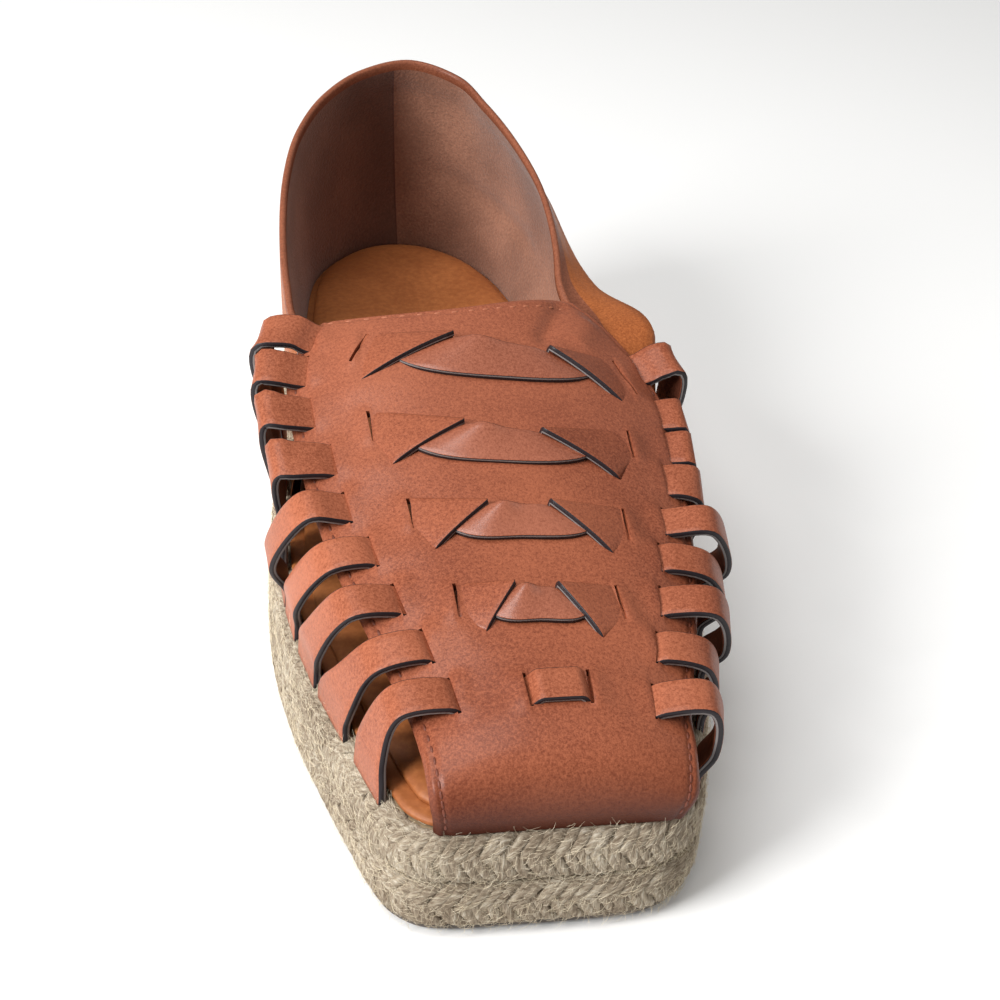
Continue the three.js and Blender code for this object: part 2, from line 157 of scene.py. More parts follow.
class Finish:
    """A material in the making: its tree, its shader and the one way to add a node."""

    def __init__(self, name):
        self.material = bpy.data.materials.new(name)
        self.material.use_nodes = True
        self.tree = self.material.node_tree
        self.shader = self.tree.nodes["Principled BSDF"]

    def feed(self, socket, value):
        if isinstance(value, Wire):
            self.tree.links.new(value.socket, socket)
        else:
            socket.default_value = value

    def node(self, kind, settings, sockets, out=0):
        made = self.tree.nodes.new(kind)
        for key, value in settings.items():
            if key == "stops":
                while len(made.color_ramp.elements) < len(value):
                    made.color_ramp.elements.new(0.5)
                for stop, (place, colour) in zip(made.color_ramp.elements, value):
                    stop.position = place
                    stop.color = colour
            else:
                setattr(made, key, value)
        for key, value in sockets.items():
            self.feed(made.inputs[key], value)
        return Wire(self, made.outputs[out])

    def math(self, operation, first, second):
        return self.node("ShaderNodeMath", {"operation": operation}, {0: first, 1: second})

    def mix(self, factor, first, second):
        sockets = {0: factor, 6: first, 7: second}
        return self.node("ShaderNodeMix", {"data_type": "RGBA"}, sockets, 2)

    def place(self):
        return self.node("ShaderNodeTexCoord", {}, {}, "Object")

    def split(self, source):
        """The three parts of the Object or UV coordinates."""
        where = self.node("ShaderNodeTexCoord", {}, {}, source)
        parts = self.node("ShaderNodeSeparateXYZ", {}, {"Vector": where}).socket.node
        return [Wire(self, socket) for socket in parts.outputs]

    def noise(self, where, scale, detail=2.0):
        sockets = {"Vector": where, "Scale": scale, "Detail": detail}
        return self.node("ShaderNodeTexNoise", {}, sockets)

    def stretch(self, where, scale):
        return self.node("ShaderNodeMapping", {}, {"Vector": where, "Scale": scale})

    def soft(self, value, low, high):
        sockets = {"Value": value, "From Min": low, "From Max": high}
        return self.node("ShaderNodeMapRange", {"interpolation_type": "SMOOTHSTEP"}, sockets)

    def relief(self, height, depth, strength=1.0):
        sockets = {"Height": height, "Distance": depth, "Strength": strength}
        return self.node("ShaderNodeBump", {}, sockets)

    def shade(self, **sockets):
        for key, value in sockets.items():
            name = key.replace("_", " ").title().replace("Ior", "IOR")
            self.feed(self.shader.inputs[name], value)
        return self.material


def rgb(red, green, blue):
    """Colour of the screen, 0 to 255, as the linear values that a shader takes."""
    return tuple((v / 255) ** GAMMA for v in (red, green, blue)) + (1.0,)


def two_tone(name, scale, dark, light, roughness):
    """Plain finish that drifts between two colours."""
    finish = Finish(name)
    tone = finish.noise(finish.place(), scale)
    return finish.shade(base_color=finish.mix(tone, dark, light), roughness=roughness)


print("Wire and Finish are ready")

# %% [markdown]
# ## Laying a flat grid
# Almost every piece of this shoe was cut flat and then bent: panel, straps, ribbons, heel cup.
# So each starts as Blender's grid primitive, and a function lays its points in place. A strap
# is a grid too, rolled into a flat tube, and its seam is then merged. The grid's own UV map
# stays on the piece, so a finish knows what is face and what is cut edge.

# %% Grid helpers
WELD = 2e-6
FINE_STEPS = 24
TINY = 1e-9
UP = np.array([0, 0, 1])


def smooth(start, end, value):
    share = np.clip((value - start) / (end - start), 0, 1)
    return share * share * (3 - 2 * share)


def plateau(value, start, full, still, end):
    """Rises from start to full and falls again from still to end."""
    return smooth(start, full, value) * smooth(end, still, value)


def swell(middle, reach, value):
    return np.exp(-(((value - middle) / reach) ** 2))


def unit(vectors):
    return vectors / np.linalg.norm(vectors, axis=-1, keepdims=True)


def drape(name, rows, cols, place):
    """Grid of rows by cols faces whose points lie where place(s, t) says, in millimetres."""
    deselect()
    bpy.ops.mesh.primitive_grid_add(x_subdivisions=rows, y_subdivisions=cols, size=1)
    piece = bpy.context.object
    piece.name = piece.data.name = name
    points = np.empty(3 * len(piece.data.vertices))
    piece.data.vertices.foreach_get("co", points)
    laid = place(np.round(points[0::3] + 0.5, 6), np.round(points[1::3] + 0.5, 6))
    piece.data.vertices.foreach_set("co", (laid * MM).ravel())
    bpy.ops.object.mode_set(mode="EDIT")
    bpy.ops.mesh.select_all(action="SELECT")
    bpy.ops.mesh.remove_doubles(threshold=WELD)
    bpy.ops.mesh.normals_make_consistent(inside=False)
    bpy.ops.object.mode_set(mode="OBJECT")
    bpy.ops.object.shade_smooth()
    return piece


def from_arrays(name, points, faces):
    """Piece of many small parts, from its points in millimetres and its faces."""
    mesh = bpy.data.meshes.new(name)
    mesh.from_pydata((points * MM).tolist(), [], faces)
    piece = bpy.data.objects.new(name, mesh)
    bpy.context.scene.collection.objects.link(piece)
    return piece


def pick(*pieces):
    """Selects pieces and makes the first one active."""
    deselect()
    for piece in pieces:
        piece.select_set(True)
    bpy.context.view_layer.objects.active = pieces[0]


def modify(piece, kind, **settings):
    """Adds one modifier and applies it."""
    pick(piece)
    bpy.ops.object.modifier_add(type=kind)
    modifier = piece.modifiers[-1]
    for key, value in settings.items():
        setattr(modifier, key, value)
    bpy.ops.object.modifier_apply(modifier=modifier.name)


def seat(piece, slot, finishes, *nodes):
    """Gives a piece its finishes and its place on the shoe's one body; slot is not used."""
    for finish in finishes:
        piece.data.materials.append(finish)
    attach(piece, "root")
    if nodes:
        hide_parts(*nodes)
    print(f"{piece.name}: {len(piece.data.polygons)} faces")


def part_faces(piece, measure, *limits):
    """Gives each face the finish that its place round the grid asks for."""
    uv = piece.data.uv_layers.active.data
    for face in piece.data.polygons:
        around = measure([uv[k].uv[1] for k in face.loop_indices])
        face.material_index = int(sum(around > limit for limit in limits))


def lengths(points):
    """Distance along a line of points, from its start to each."""
    return np.append(0, np.cumsum(np.linalg.norm(np.diff(points, axis=0), axis=1)))


def cubic(t, start, leave, end, reach):
    """Curve from start to end, with its slopes at both."""
    return ((2 * t**3 - 3 * t**2 + 1) * start + (t**3 - 2 * t**2 + t) * leave
            + (3 * t**2 - 2 * t**3) * end + (t**3 - t**2) * reach)


def smooth_line(points, steps, closed=False):
    """Evenly spaced points on a smooth curve through the given ones."""
    p = np.array(points, float)
    if closed:
        p = np.vstack([p[-1], p, p[0], p[1]])
    else:
        p = np.vstack([2 * p[0] - p[1], p, 2 * p[-1] - p[-2]])
    t = np.linspace(0, 1, FINE_STEPS, endpoint=False)[:, None]
    fine = []
    for a, b, c, d in zip(p, p[1:], p[2:], p[3:]):
        ab, bc, cd = (max(np.linalg.norm(v), TINY) ** 0.5 for v in (b - a, c - b, d - c))
        leave = ((b - a) / ab - (c - a) / (ab + bc) + (c - b) / bc) * bc
        reach = ((c - b) / bc - (d - b) / (bc + cd) + (d - c) / cd) * bc
        fine.append(cubic(t, b, leave, c, reach))
    fine = np.vstack([*fine, p[-2][None]])
    length = lengths(fine)
    even = np.linspace(0, length[-1], steps + 1)
    return np.column_stack([np.interp(even, length, axis) for axis in fine.T])


print("grid helpers ready, welding within", WELD / MM, "mm")

# %% [markdown]
# ## The platform's outline
# Plaits, insole and strap feet all follow one outline. It is read from the jute solid, at the
# height where its lower plait stands out most, and smoothed. `rim` then gives a point at any
# share of the way round, starting at the toe and going up the inner side.

# %% Outline of the platform
TOE_SPRING = 1.0
SPRING_START, SPRING_END = -94.8, -130.8
HEEL_RISE = 3.0
RISE_START, RISE_END = -29.8, 80.2
JUTE_TOP = 26.0
WIDEST = (7.0, 10.5)
ROUND = 1440


def lift(y, z):
    """Height of a point of the platform after toe spring and heel rise."""
    ahead = np.maximum(0, (SPRING_START - y) / (SPRING_START - SPRING_END))
    rise = HEEL_RISE * smooth(RISE_START, RISE_END, y) * np.minimum(1, z / JUTE_TOP)
    return z + TOE_SPRING * ahead**2 + rise


def read_outline():
    """Loop of points round the platform, where the lower plait stands out most."""
    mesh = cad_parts["jute_sole"].data
    points = np.array([v.co for v in mesh.vertices]) / MM
    band = points[(points[:, 2] > WIDEST[0]) & (points[:, 2] < WIDEST[1])]
    loop = np.unique(np.round(band[:, :2], 2), axis=0)
    turn = np.arctan2(loop[:, 0], loop[:, 1])
    loop = loop[np.argsort(turn)]
    loop = np.roll(loop, -np.argmin(loop[:, 1]), axis=0)
    line = smooth_line(np.column_stack([loop, 0 * loop[:, 0]]), ROUND, closed=True)[:-1]
    return line[:, :2]


outline = read_outline()
run = unit(np.roll(outline, -1, axis=0) - np.roll(outline, 1, axis=0))
inward = np.column_stack([run[:, 1], -run[:, 0]])
perimeter = lengths(outline)[-1]


def rim(share, inset, z):
    """Point at a share of the way round, inset from the outline, at a height."""
    at = np.mod(share, 1) * ROUND
    low = at.astype(int) % ROUND
    part = (at - np.floor(at))[..., None]
    high = (low + 1) % ROUND
    flat = outline[low] * (1 - part) + outline[high] * part
    turned = unit(inward[low] * (1 - part) + inward[high] * part)
    flat = flat + turned * np.asarray(inset)[..., None]
    return np.column_stack([flat, lift(flat[:, 1], z)])


def share_at(side, y):
    """Share of the way round at a place along the inner (-1) or outer (1) side."""
    heel = int(np.argmax(outline[:, 1]))
    if side < 0:
        return np.interp(y, outline[:heel, 1], np.arange(heel)) / ROUND
    return np.interp(y, outline[:heel:-1, 1], np.arange(ROUND - 1, heel, -1)) / ROUND


print(f"outline {perimeter:.0f} mm round, {np.ptp(outline[:, 0]):.1f} mm wide")

# %% [markdown]
# ## Sole pieces
# Outsole, jute core and insole are slabs of one outline. Each is a grid rolled round the slab:
# up the inner side, over the top, down the outer side and back under, from toe to heel. The
# core only fills the space behind the plaits, so it is set in by their depth. Under the outsole,
# every second pair of grid rows is raised, which leaves the ribs of the tread.

# %% Slab helper and the rubber and jute-core finishes
SideRow = namedtuple("SideRow", "z inset")
SLAB_ROWS, SLAB_COLS = 150, 60
SLAB_TURNS = [0, 0.2, 0.5, 0.7, 1]
RIB_ROWS, TREAD_DEPTH, TREAD_MARGIN = 4, 0.6, 0.12


def side_rows(*rows):
    return [SideRow(*row) for row in rows]


def side_at(rows, share):
    """Height and inset at a share of the way up a side."""
    steps = share * (len(rows) - 1)
    return [np.interp(steps, np.arange(len(rows)), column) for column in zip(*rows)]


def slab(name, side, dish=0.0, tread=0.0):
    """Slab with a stepped side; dish sinks the middle of its top, tread grooves its underside."""

    def place(s, t):
        up = np.interp(t, SLAB_TURNS, [0, 1, 1, 0, 0])
        across = np.interp(t, SLAB_TURNS, [0, 0, 1, 1, 0])[:, None]
        level, inside = side_at(side, up)
        inner = rim(s / 2, inside, level)
        outer = rim(1 - s / 2, inside, level)
        laid = inner * (1 - across) + outer * across
        middle = np.sin(np.pi * across[:, 0]) * np.sin(np.pi * s)
        laid[:, 2] -= dish * middle * (up == 1)
        groove = np.round(s * SLAB_ROWS) % RIB_ROWS < RIB_ROWS / 2
        laid[:, 2] += tread * groove * (middle > TREAD_MARGIN) * (up == 0)
        return laid

    return drape(name, SLAB_ROWS, SLAB_COLS, place)


def rubber():
    finish = Finish("tread_rubber")
    where = finish.place()
    rough = finish.noise(where, 900.0, 3.0)
    dust = finish.soft(finish.noise(where, 60.0), 0.45, 0.75)
    colour = finish.mix(dust, rgb(84, 77, 72), rgb(122, 112, 102))
    return finish.shade(base_color=colour, roughness=0.75 + rough * 0.2,
                        normal=finish.relief(rough, 0.00012))


def jute_core_finish():
    finish = Finish("jute_shadow")
    where = finish.place()
    fibre = finish.noise(finish.stretch(where, (300.0, 300.0, 1200.0)), 1.0, 3.0)
    colour = finish.mix(fibre, rgb(112, 96, 74), rgb(160, 140, 110))
    return finish.shade(base_color=colour, roughness=0.95, normal=finish.relief(fibre, 0.0008))


OUTSOLE_SIDE = side_rows((0, 2.8), (0.3, 2.1), (0.7, 1.8), (1.4, 1.8), (1.9, 2.0), (2.2, 2.6))
CORE_SIDE = side_rows((2.0, 3.0), (4.2, 2.2), (12.2, 2.2), (13.7, 2.8), (15.6, 2.4), (22, 2.4),
                      (24.2, 3.8), (25.2, 6.0))
outsole = slab("rubber_outsole", OUTSOLE_SIDE, tread=TREAD_DEPTH)
seat(outsole, "tread", [rubber()], "outsole")
seat(slab("jute_core", CORE_SIDE), "jute", [jute_core_finish()], "jute_sole")

# %% [markdown]
# ## The jute plaits
# The platform's side is two seven-strand plaits, one on the other, and the upper one rolls in
# over the edge. In a flat plait each strand swings from edge to edge; on its way from an edge to
# the middle it lies on top, and from there to the other edge it lies under the rest. So sideways
# it follows a sine and in depth a sine of double the angle, and the strands on top lean one way
# above and the other way below. Each strand is a closed loop round the shoe.

# %% Jute finish
STREAK_RUN, STREAK_TWIST = 420.0, 900.0
JUTE_TONES = [(0.0, rgb(93, 80, 66)), (0.35, rgb(140, 125, 107)), (0.7, rgb(170, 157, 138)),
              (1.0, rgb(205, 195, 178))]


def jute():
    """Loose plant fibres that wind round a strand: pale and dark streaks, dull."""
    finish = Finish("jute_strand")
    ahead, around, _ = finish.split("UV")
    skewed = finish.node("ShaderNodeCombineXYZ", {}, {
        "X": ahead * STREAK_RUN, "Y": around * 9.0 + ahead * STREAK_TWIST, "Z": around * 3.0})
    streak = finish.noise(skewed, 1.0, 4.0)
    hair = finish.noise(finish.stretch(skewed, (2.0, 4.0, 4.0)), 1.0)
    patch = finish.noise(finish.place(), 70.0, 3.0)
    blend = finish.soft(streak * 0.55 + patch * 0.3 + hair * 0.3, 0.36, 0.8)
    colour = finish.node("ShaderNodeValToRGB", {"stops": JUTE_TONES}, {"Fac": blend})
    height = streak * 0.7 + hair * 0.5
    return finish.shade(base_color=colour, roughness=0.92, specular_ior_level=0.15,
                        normal=finish.relief(height, 0.0007))


jute_finish = jute()
print(len(JUTE_TONES), "tones of jute")

# %% Plaits
Plait = namedtuple("Plait", "name side turns phase")
LOWER_SIDE = side_rows((1.0, 1.5), (3.2, 0.5), (7.6, 0.0), (11.8, 0.4), (14.4, 1.2))
UPPER_SIDE = side_rows((13.2, 1.2), (15.4, 0.6), (18.8, 0.3), (22.2, 0.9), (24.8, 2.6),
                       (26.0, 5.6))
PLAITS = [Plait("lower_plait", LOWER_SIDE, 33, 0.4), Plait("upper_plait", UPPER_SIDE, 34, 0.0)]
STRANDS = 7
STRAND_STEPS = 24
STRAND_SIDES = 10
STRAND_HALF_WIDTH = 1.35
STRAND_HALF_DEPTH = 0.85
SWING = 0.8
DIVE = 0.42
PROFILE_STEPS = 200
LOOK_AHEAD = 0.2
Wander = namedtuple("Wander", "size waves")
EARLY_LATE = (Wander(0.18, 9), Wander(0.1, 23))
SIDEWAYS = Wander(0.04, 31)
PLUMPNESS = Wander(0.1, 61)


def strand(plait, number):
    """One strand of a plait as a rolled grid: s runs round the shoe, t round the strand."""
    rows = plait.turns * STRAND_STEPS
    step = LOOK_AHEAD / rows
    profile = smooth_line([(row.z, row.inset, 0) for row in plait.side], PROFILE_STEPS)
    steepness = np.gradient(profile, axis=0)
    phases = chance.uniform(0, 2 * np.pi, 4)

    def drift(wander, share, k):
        return wander.size * np.sin(2 * np.pi * wander.waves * share + phases[k])

    def on_profile(share):
        """Height and inset of the plait's face at a strand, its slopes, and the strand's depth."""
        turn = 2 * np.pi * (plait.turns * share + number / STRANDS) + plait.phase
        for k, wander in enumerate(EARLY_LATE):
            turn = turn + drift(wander, share, k)
        across = SWING * np.sin(turn) + drift(SIDEWAYS, share, 2)
        depth = STRAND_HALF_DEPTH + DIVE * (1 + np.sin(2 * turn))
        at = (across + 1) * PROFILE_STEPS / 2
        level, inset, rise, slope = (np.interp(at, np.arange(PROFILE_STEPS + 1), line[:, k])
                                     for line in (profile, steepness) for k in (0, 1))
        size = np.hypot(slope, rise)
        return level, inset, rise / size, slope / size, depth

    def centre(share):
        level, inset, up, lean, depth = on_profile(share)
        return rim(share, inset + depth * up, level - depth * lean)

    def place(s, t):
        share = np.mod(s, 1)
        level, inset, up, lean, _ = on_profile(share)
        ahead = unit(centre(share + step) - centre(share - step))
        flat = rim(share, inset + 1, level) - rim(share, inset, level)
        face = unit(-flat * up[:, None] + UP * lean[:, None])
        wide = unit(np.cross(ahead, face))
        face = np.cross(wide, ahead)
        turn = 2 * np.pi * t
        plump = 1 + drift(PLUMPNESS, share, 3)
        return (centre(share) + wide * (STRAND_HALF_WIDTH * plump * np.cos(turn))[:, None]
                + face * (STRAND_HALF_DEPTH * np.sin(turn))[:, None])

    return drape(f"{plait.name}_{number + 1}", rows, STRAND_SIDES, place)


for plait in PLAITS:
    for number in range(STRANDS):
        seat(strand(plait, number), "jute", [jute_finish], "jute_sole")

# %% [markdown]
# ## Loose fibres
# Jute is hairy: short pale fibres stand off the strands all round. Thousands of them are one
# mesh, made from arrays, each a thin three-sided blade along a bent line.

# %% Loose fibres
FIBRES = 16000
FIBRE_LENGTH = (1.2, 4.5)
FIBRE_THICK = 0.042
FIBRE_STEPS = 2
FIBRE_BAND = (0.05, 0.95)
FIBRE_ROOT = 0.5
FIBRE_TURN, FIBRE_CURL = 0.9, 0.25
FIBRE_STAND, FIBRE_ARC = (0.2, 1.0), 2.4
FIBRE_TAPER = 0.7
FLOOR_GAP = 0.2


def fibres():
    """Every loose fibre, with its own root, heading, length and curl."""
    share = chance.uniform(0, 1, FIBRES)
    plait = chance.integers(0, 2, FIBRES)
    across = chance.uniform(*FIBRE_BAND, FIBRES)
    start = np.empty((FIBRES, 3))
    out = np.empty((FIBRES, 3))
    for k, rows in enumerate((LOWER_SIDE, UPPER_SIDE)):
        chosen = plait == k
        level, inset = side_at(rows, across[chosen])
        start[chosen] = rim(share[chosen], inset + FIBRE_ROOT, level)
        out[chosen] = unit(rim(share[chosen], inset, level) - rim(share[chosen], inset + 1, level))
    round_shoe = unit(np.cross(out, UP))
    angle = chance.normal(0, FIBRE_TURN, FIBRES)[:, None]
    heading = round_shoe * np.cos(angle) + UP * np.sin(angle)
    heading *= chance.choice([-1, 1], FIBRES)[:, None]
    length = chance.uniform(*FIBRE_LENGTH, FIBRES)[:, None]
    stand = chance.uniform(*FIBRE_STAND, FIBRES)[:, None]
    curl = np.cross(out, heading) * chance.normal(0, FIBRE_CURL, FIBRES)[:, None]
    corners = np.array([[0, 1], [0.87, -0.5], [-0.87, -0.5]]) * FIBRE_THICK
    points = []
    for k in range(FIBRE_STEPS + 1):
        q = k / FIBRE_STEPS
        line = start + heading * length * q + curl * length * q * q
        line = line + out * stand * np.sin(FIBRE_ARC * q)
        line[:, 2] = np.maximum(line[:, 2], FLOOR_GAP)
        side = np.cross(heading, out)
        for a, b in corners * (1 - FIBRE_TAPER * q):
            points.append(line + side * a + out * b)
    points = np.stack(points, axis=1).reshape(-1, 3)
    blade = [(3 * k + m, 3 * k + (m + 1) % 3, 3 * k + 3 + (m + 1) % 3, 3 * k + 3 + m)
             for k in range(FIBRE_STEPS) for m in range(3)]
    faces = (np.arange(FIBRES) * 3 * (FIBRE_STEPS + 1))[:, None, None] + np.array(blade)
    return from_arrays("loose_fibres", points, faces.reshape(-1, 4).tolist())


fibre_finish = two_tone("jute_fibre", 300.0, rgb(196, 176, 140), rgb(246, 236, 214), 0.8)
seat(fibres(), "jute", [fibre_finish])

# %% [markdown]
# ## Leather
# The upper is smooth full-grain leather in cognac. From close by it has a fine speckle of rust
# on orange, softer clouds, and a grain that breaks up the highlight. Painted light makes it
# lighter over the instep, and painted shade darkens the toe towards the sole. Cut edges are
# painted black, with a thin grey line along them.

# %% Leather finish
EDGE_ZONES = ((0.3, 0.5), (0.8, 1.0))
EDGE_INSET = 0.02
EDGE_LINE = 0.66
LINE_HALF = 0.016
EDGE_BLACK, EDGE_GREY = rgb(44, 39, 42), rgb(128, 122, 120)
# painted shade at the toe: the leather darkens below these heights towards the sole
TOE_SHADE_LOW, TOE_SHADE_HIGH = 0.0255, 0.045
TOE_SHADE, TOE_SHADE_SHARE = rgb(60, 24, 14), 0.9
# painted light over the instep: lighter leather towards the top of the panel
INSTEP_LIGHT_START, INSTEP_LIGHT_END = -0.07, -0.02
INSTEP_LIGHT, INSTEP_LIGHT_SHARE = rgb(188, 116, 90), 0.14
COAT, COAT_ROUGH, SPECULAR = 0.2, 0.24, 0.15
Back = namedtuple("Back", "dark light coat")


def leather(name, light, dark, gloss=0.42, back=None, painted_light_and_shade=False):
    """Cognac leather; the panel gets painted light and shade, a strip a back and painted edges."""
    finish = Finish(name)
    where = finish.place()
    speckle = finish.noise(where, 1500.0, 3.0)
    pores = finish.noise(where, 3200.0, 1.0)
    cloud = finish.noise(where, 26.0, 2.0)
    shade = finish.soft(speckle * 0.5 + pores * 0.35 + cloud * 0.45, 0.41, 0.87)
    colour = finish.mix(shade, dark, light)
    rough = gloss + speckle * 0.16
    coat = COAT
    if painted_light_and_shade:
        _, station, height = finish.split("Object")
        # painted light: the leather turns lighter towards the instep
        colour = finish.mix(finish.soft(station, INSTEP_LIGHT_START, INSTEP_LIGHT_END) * INSTEP_LIGHT_SHARE, colour, INSTEP_LIGHT)
        # painted shade: the toe darkens towards the sole and loses its coat there
        low = 1 - finish.soft(height, TOE_SHADE_LOW, TOE_SHADE_HIGH)
        colour = finish.mix(low * TOE_SHADE_SHARE, colour, TOE_SHADE)
        coat = coat * (1 - low)
    if back:
        _, around, _ = finish.split("UV")
        turned = (around > EDGE_ZONES[0][1]) * (around < EDGE_ZONES[1][0])
        colour = finish.mix(turned, colour, finish.mix(shade, back.dark, back.light))
        coat = coat + turned * back.coat
        black = line = 0.0
        for (low, high), part in zip(EDGE_ZONES, (EDGE_LINE, 1 - EDGE_LINE)):
            black = (around > low + EDGE_INSET) * (around < high - EDGE_INSET) + black
            middle = low + (high - low) * part
            line = (around > middle - LINE_HALF) * (around < middle + LINE_HALF) + line
        colour = finish.mix(black, colour, finish.mix(line, EDGE_BLACK, EDGE_GREY))
    grain = speckle * 0.6 + pores * 0.5
    return finish.shade(base_color=colour, roughness=rough, specular_ior_level=SPECULAR,
                        coat_weight=coat, coat_roughness=COAT_ROUGH,
                        normal=finish.relief(grain, 0.00022, 0.5))


LEATHER_LIGHT = rgb(164, 95, 68)
LEATHER_DARK = rgb(110, 56, 39)
# the straps' leather is the panel's made a little lighter: painted light on straps and toe bar
STRAP_LIGHT = rgb(173, 102, 74)
STRAP_DARK = rgb(122, 64, 43)
RIBBON_BACK = Back(rgb(124, 66, 46), rgb(164, 98, 74), 0.8)
STRAP_BACK = Back(rgb(74, 42, 32), rgb(104, 62, 46), 0.0)
# the panel carries painted light over the instep and painted shade at the toe
panel_leather = leather("panel_leather", LEATHER_LIGHT, LEATHER_DARK, painted_light_and_shade=True)
strap_leather = leather("strap_leather", STRAP_LIGHT, STRAP_DARK, 0.44, STRAP_BACK)
ribbon_leather = leather("ribbon_leather", LEATHER_LIGHT, LEATHER_DARK, 0.38, RIBBON_BACK)
quarter_leather = leather("quarter_leather", rgb(182, 106, 60), rgb(134, 72, 38), 0.5)
# the rolled rim is a darker brown than the quarter: painted shade along the heel's top edge
rim_leather = leather("rim_leather", rgb(148, 90, 66), rgb(110, 62, 44), 0.5)
print("leather for panel, straps, ribbons, quarter and rim")

# %% Suede lining and sock leather
SEAM_SHARE = 0.503
SEAM_HALF = 0.0008
# painted shade on the inner half of the heel lining starts at this share
SHADE_START = 0.32
SHADOW_SHARE = 0.6


def lining(name, seam=False):
    """Suede; seam draws the line at the back of the heel and paints shade towards it on the inner
    half.
    """
    finish = Finish(name)
    where = finish.place()
    nap = finish.noise(where, 1300.0, 4.0)
    cloud = finish.noise(where, 45.0, 3.0)
    tone = finish.soft(nap * 0.5 + cloud * 0.6, 0.35, 0.85)
    colour = finish.mix(tone, rgb(124, 82, 62), rgb(166, 116, 92))
    if seam:
        ahead, _, _ = finish.split("UV")
        line = (ahead > SEAM_SHARE - SEAM_HALF) * (ahead < SEAM_SHARE + SEAM_HALF)
        painted_shade = finish.soft(ahead, SHADE_START, SEAM_SHARE) * (ahead < SEAM_SHARE)
        # painted shade: the inner half darkens towards the back seam
        colour = finish.mix(painted_shade * SHADOW_SHARE, colour, rgb(66, 38, 29))
        colour = finish.mix(line, colour, rgb(92, 56, 43))
    return finish.shade(base_color=colour, roughness=0.85, sheen_weight=0.25,
                        normal=finish.relief(nap, 0.0003))


def sock_leather():
    finish = Finish("sock_leather")
    where = finish.place()
    fine = finish.noise(where, 700.0, 4.0)
    cloud = finish.noise(where, 30.0, 3.0)
    tone = finish.soft(fine * 0.5 + cloud * 0.7, 0.4, 0.9)
    colour = finish.mix(tone, rgb(146, 84, 44), rgb(184, 114, 64))
    return finish.shade(base_color=colour, roughness=0.5 + fine * 0.1,
                        normal=finish.relief(fine, 0.0002, 0.5))


lining_suede = lining("lining_suede")
heel_suede = lining("heel_suede", True)
tan_leather = sock_leather()
print("suede for panel and heel, leather for the sock")

# %% Insole and the turned-under margin of the upper
INSOLE_SIDE = side_rows((27.0, 9.6), (27.9, 8.6), (28.7, 8.6), (29.3, 9.2), (29.9, 11.0),
                        (30.6, 15.0))
MARGIN_SIDE = side_rows((25.4, 5.8), (26.0, 5.2), (26.8, 5.2), (27.2, 5.8), (27.4, 8.0),
                        (27.6, 10.6), (26.0, 10.6), (25.4, 5.8))
MARGIN_STEPS = (360, 21)
SOCK_DISH = 0.7
insole = slab("insole_sock", INSOLE_SIDE, SOCK_DISH)
seat(insole, "insole_leather", [tan_leather], "insole")


def margin_place(s, t):
    level, inset = side_at(MARGIN_SIDE, t)
    return rim(s, inset, level)


margin = drape("lasting_margin", *MARGIN_STEPS, margin_place)
seat(margin, "leather", [tan_leather], "upper")

# %% [markdown]
# ## The vamp panel
# One leather panel covers the foot from the instep to the toe, where it folds down to the sole.
# Its form is a short table of cross lines: place along the foot, height, half widths, crown, lean
# and the sweep of the throat line, whose corners reach back. The grid is evenly spaced along the
# leather and rolled into a flat tube, so that it has an outer face, a lining and closed edges. Soft
# lips show where straps and ribbons pull at the slits.

# %% Panel form
SHIFT = np.array([-0.59, 0.19, 0.0])
PanelRow = namedtuple("PanelRow", "y z inner outer crown tilt skew sweep")
PANEL = [PanelRow(*row) for row in (
    (3, 74.6, 36, 27.5, 4.4, -0.04, -0.15, 0.007),
    (-1.4, 73.6, 39.4, 34.5, 6, 0.01, -0.08, 0.005),
    (-5.6, 72.5, 41.8, 40.6, 7.7, 0.05, 0, 0.0028),
    (-11, 71.3, 44, 45, 9.2, 0.07, 0.07, 0.001),
    (-20, 69.2, 46.5, 46.8, 10, 0.06, 0.1, 0),
    (-42, 63, 45, 45.6, 9.5, 0.05, 0.08, 0),
    (-66, 57, 41, 42.2, 8.5, 0.03, 0.06, 0),
    (-90, 51.8, 34.5, 36.5, 7.6, 0.02, 0.05, 0),
    (-108, 47.8, 29.5, 31, 6.6, 0, 0.03, 0),
    (-118.5, 45, 27.8, 29.4, 5.6, 0, 0.01, 0),
    (-124.9, 41, 27.2, 28.6, 4.2, 0, 0, 0),
    (-127.9, 35.5, 26.6, 28.2, 2, 0, 0, 0),
    (-128.6, 30.4, 26, 27.6, 0, 0, 0, 0),
    (-127.4, 25.4, 25.4, 26.4, 0, 0, 0, 0),
)]
CROWN_POWER = 2.4
PANEL_WALL = 2.0
NUDGE = 0.004
TOP_END = 0.92
PANEL_SAMPLES = 2000
LENGTH_SAMPLES = 1200


def along(column, place):
    """Smooth value between the rows of the panel's table, at a place from 0 to 1."""
    values = np.array([getattr(row, column) for row in PANEL], float)
    last = len(values) - 1
    at = np.clip(place, 0, 1) * last
    i = np.minimum(np.floor(at).astype(int), last - 1)
    t = at - i
    before, after = values[np.maximum(i - 1, 0)], values[np.minimum(i + 2, last)]
    here, there = values[i], values[i + 1]
    leave, reach = (there - before) / 2, (after - here) / 2
    return cubic(t, here, leave, there, reach)


def cross_line(place, x):
    """Station along the foot of a cross line of the panel, at a distance across."""
    skew, sweep = along("skew", place), along("sweep", place)
    return along("y", place) - skew * x + sweep * x**2


def half_width(place, u):
    """Half the panel's width at a place, on the side that the sign of u tells."""
    return np.where(u < 0, along("inner", place), along("outer", place))


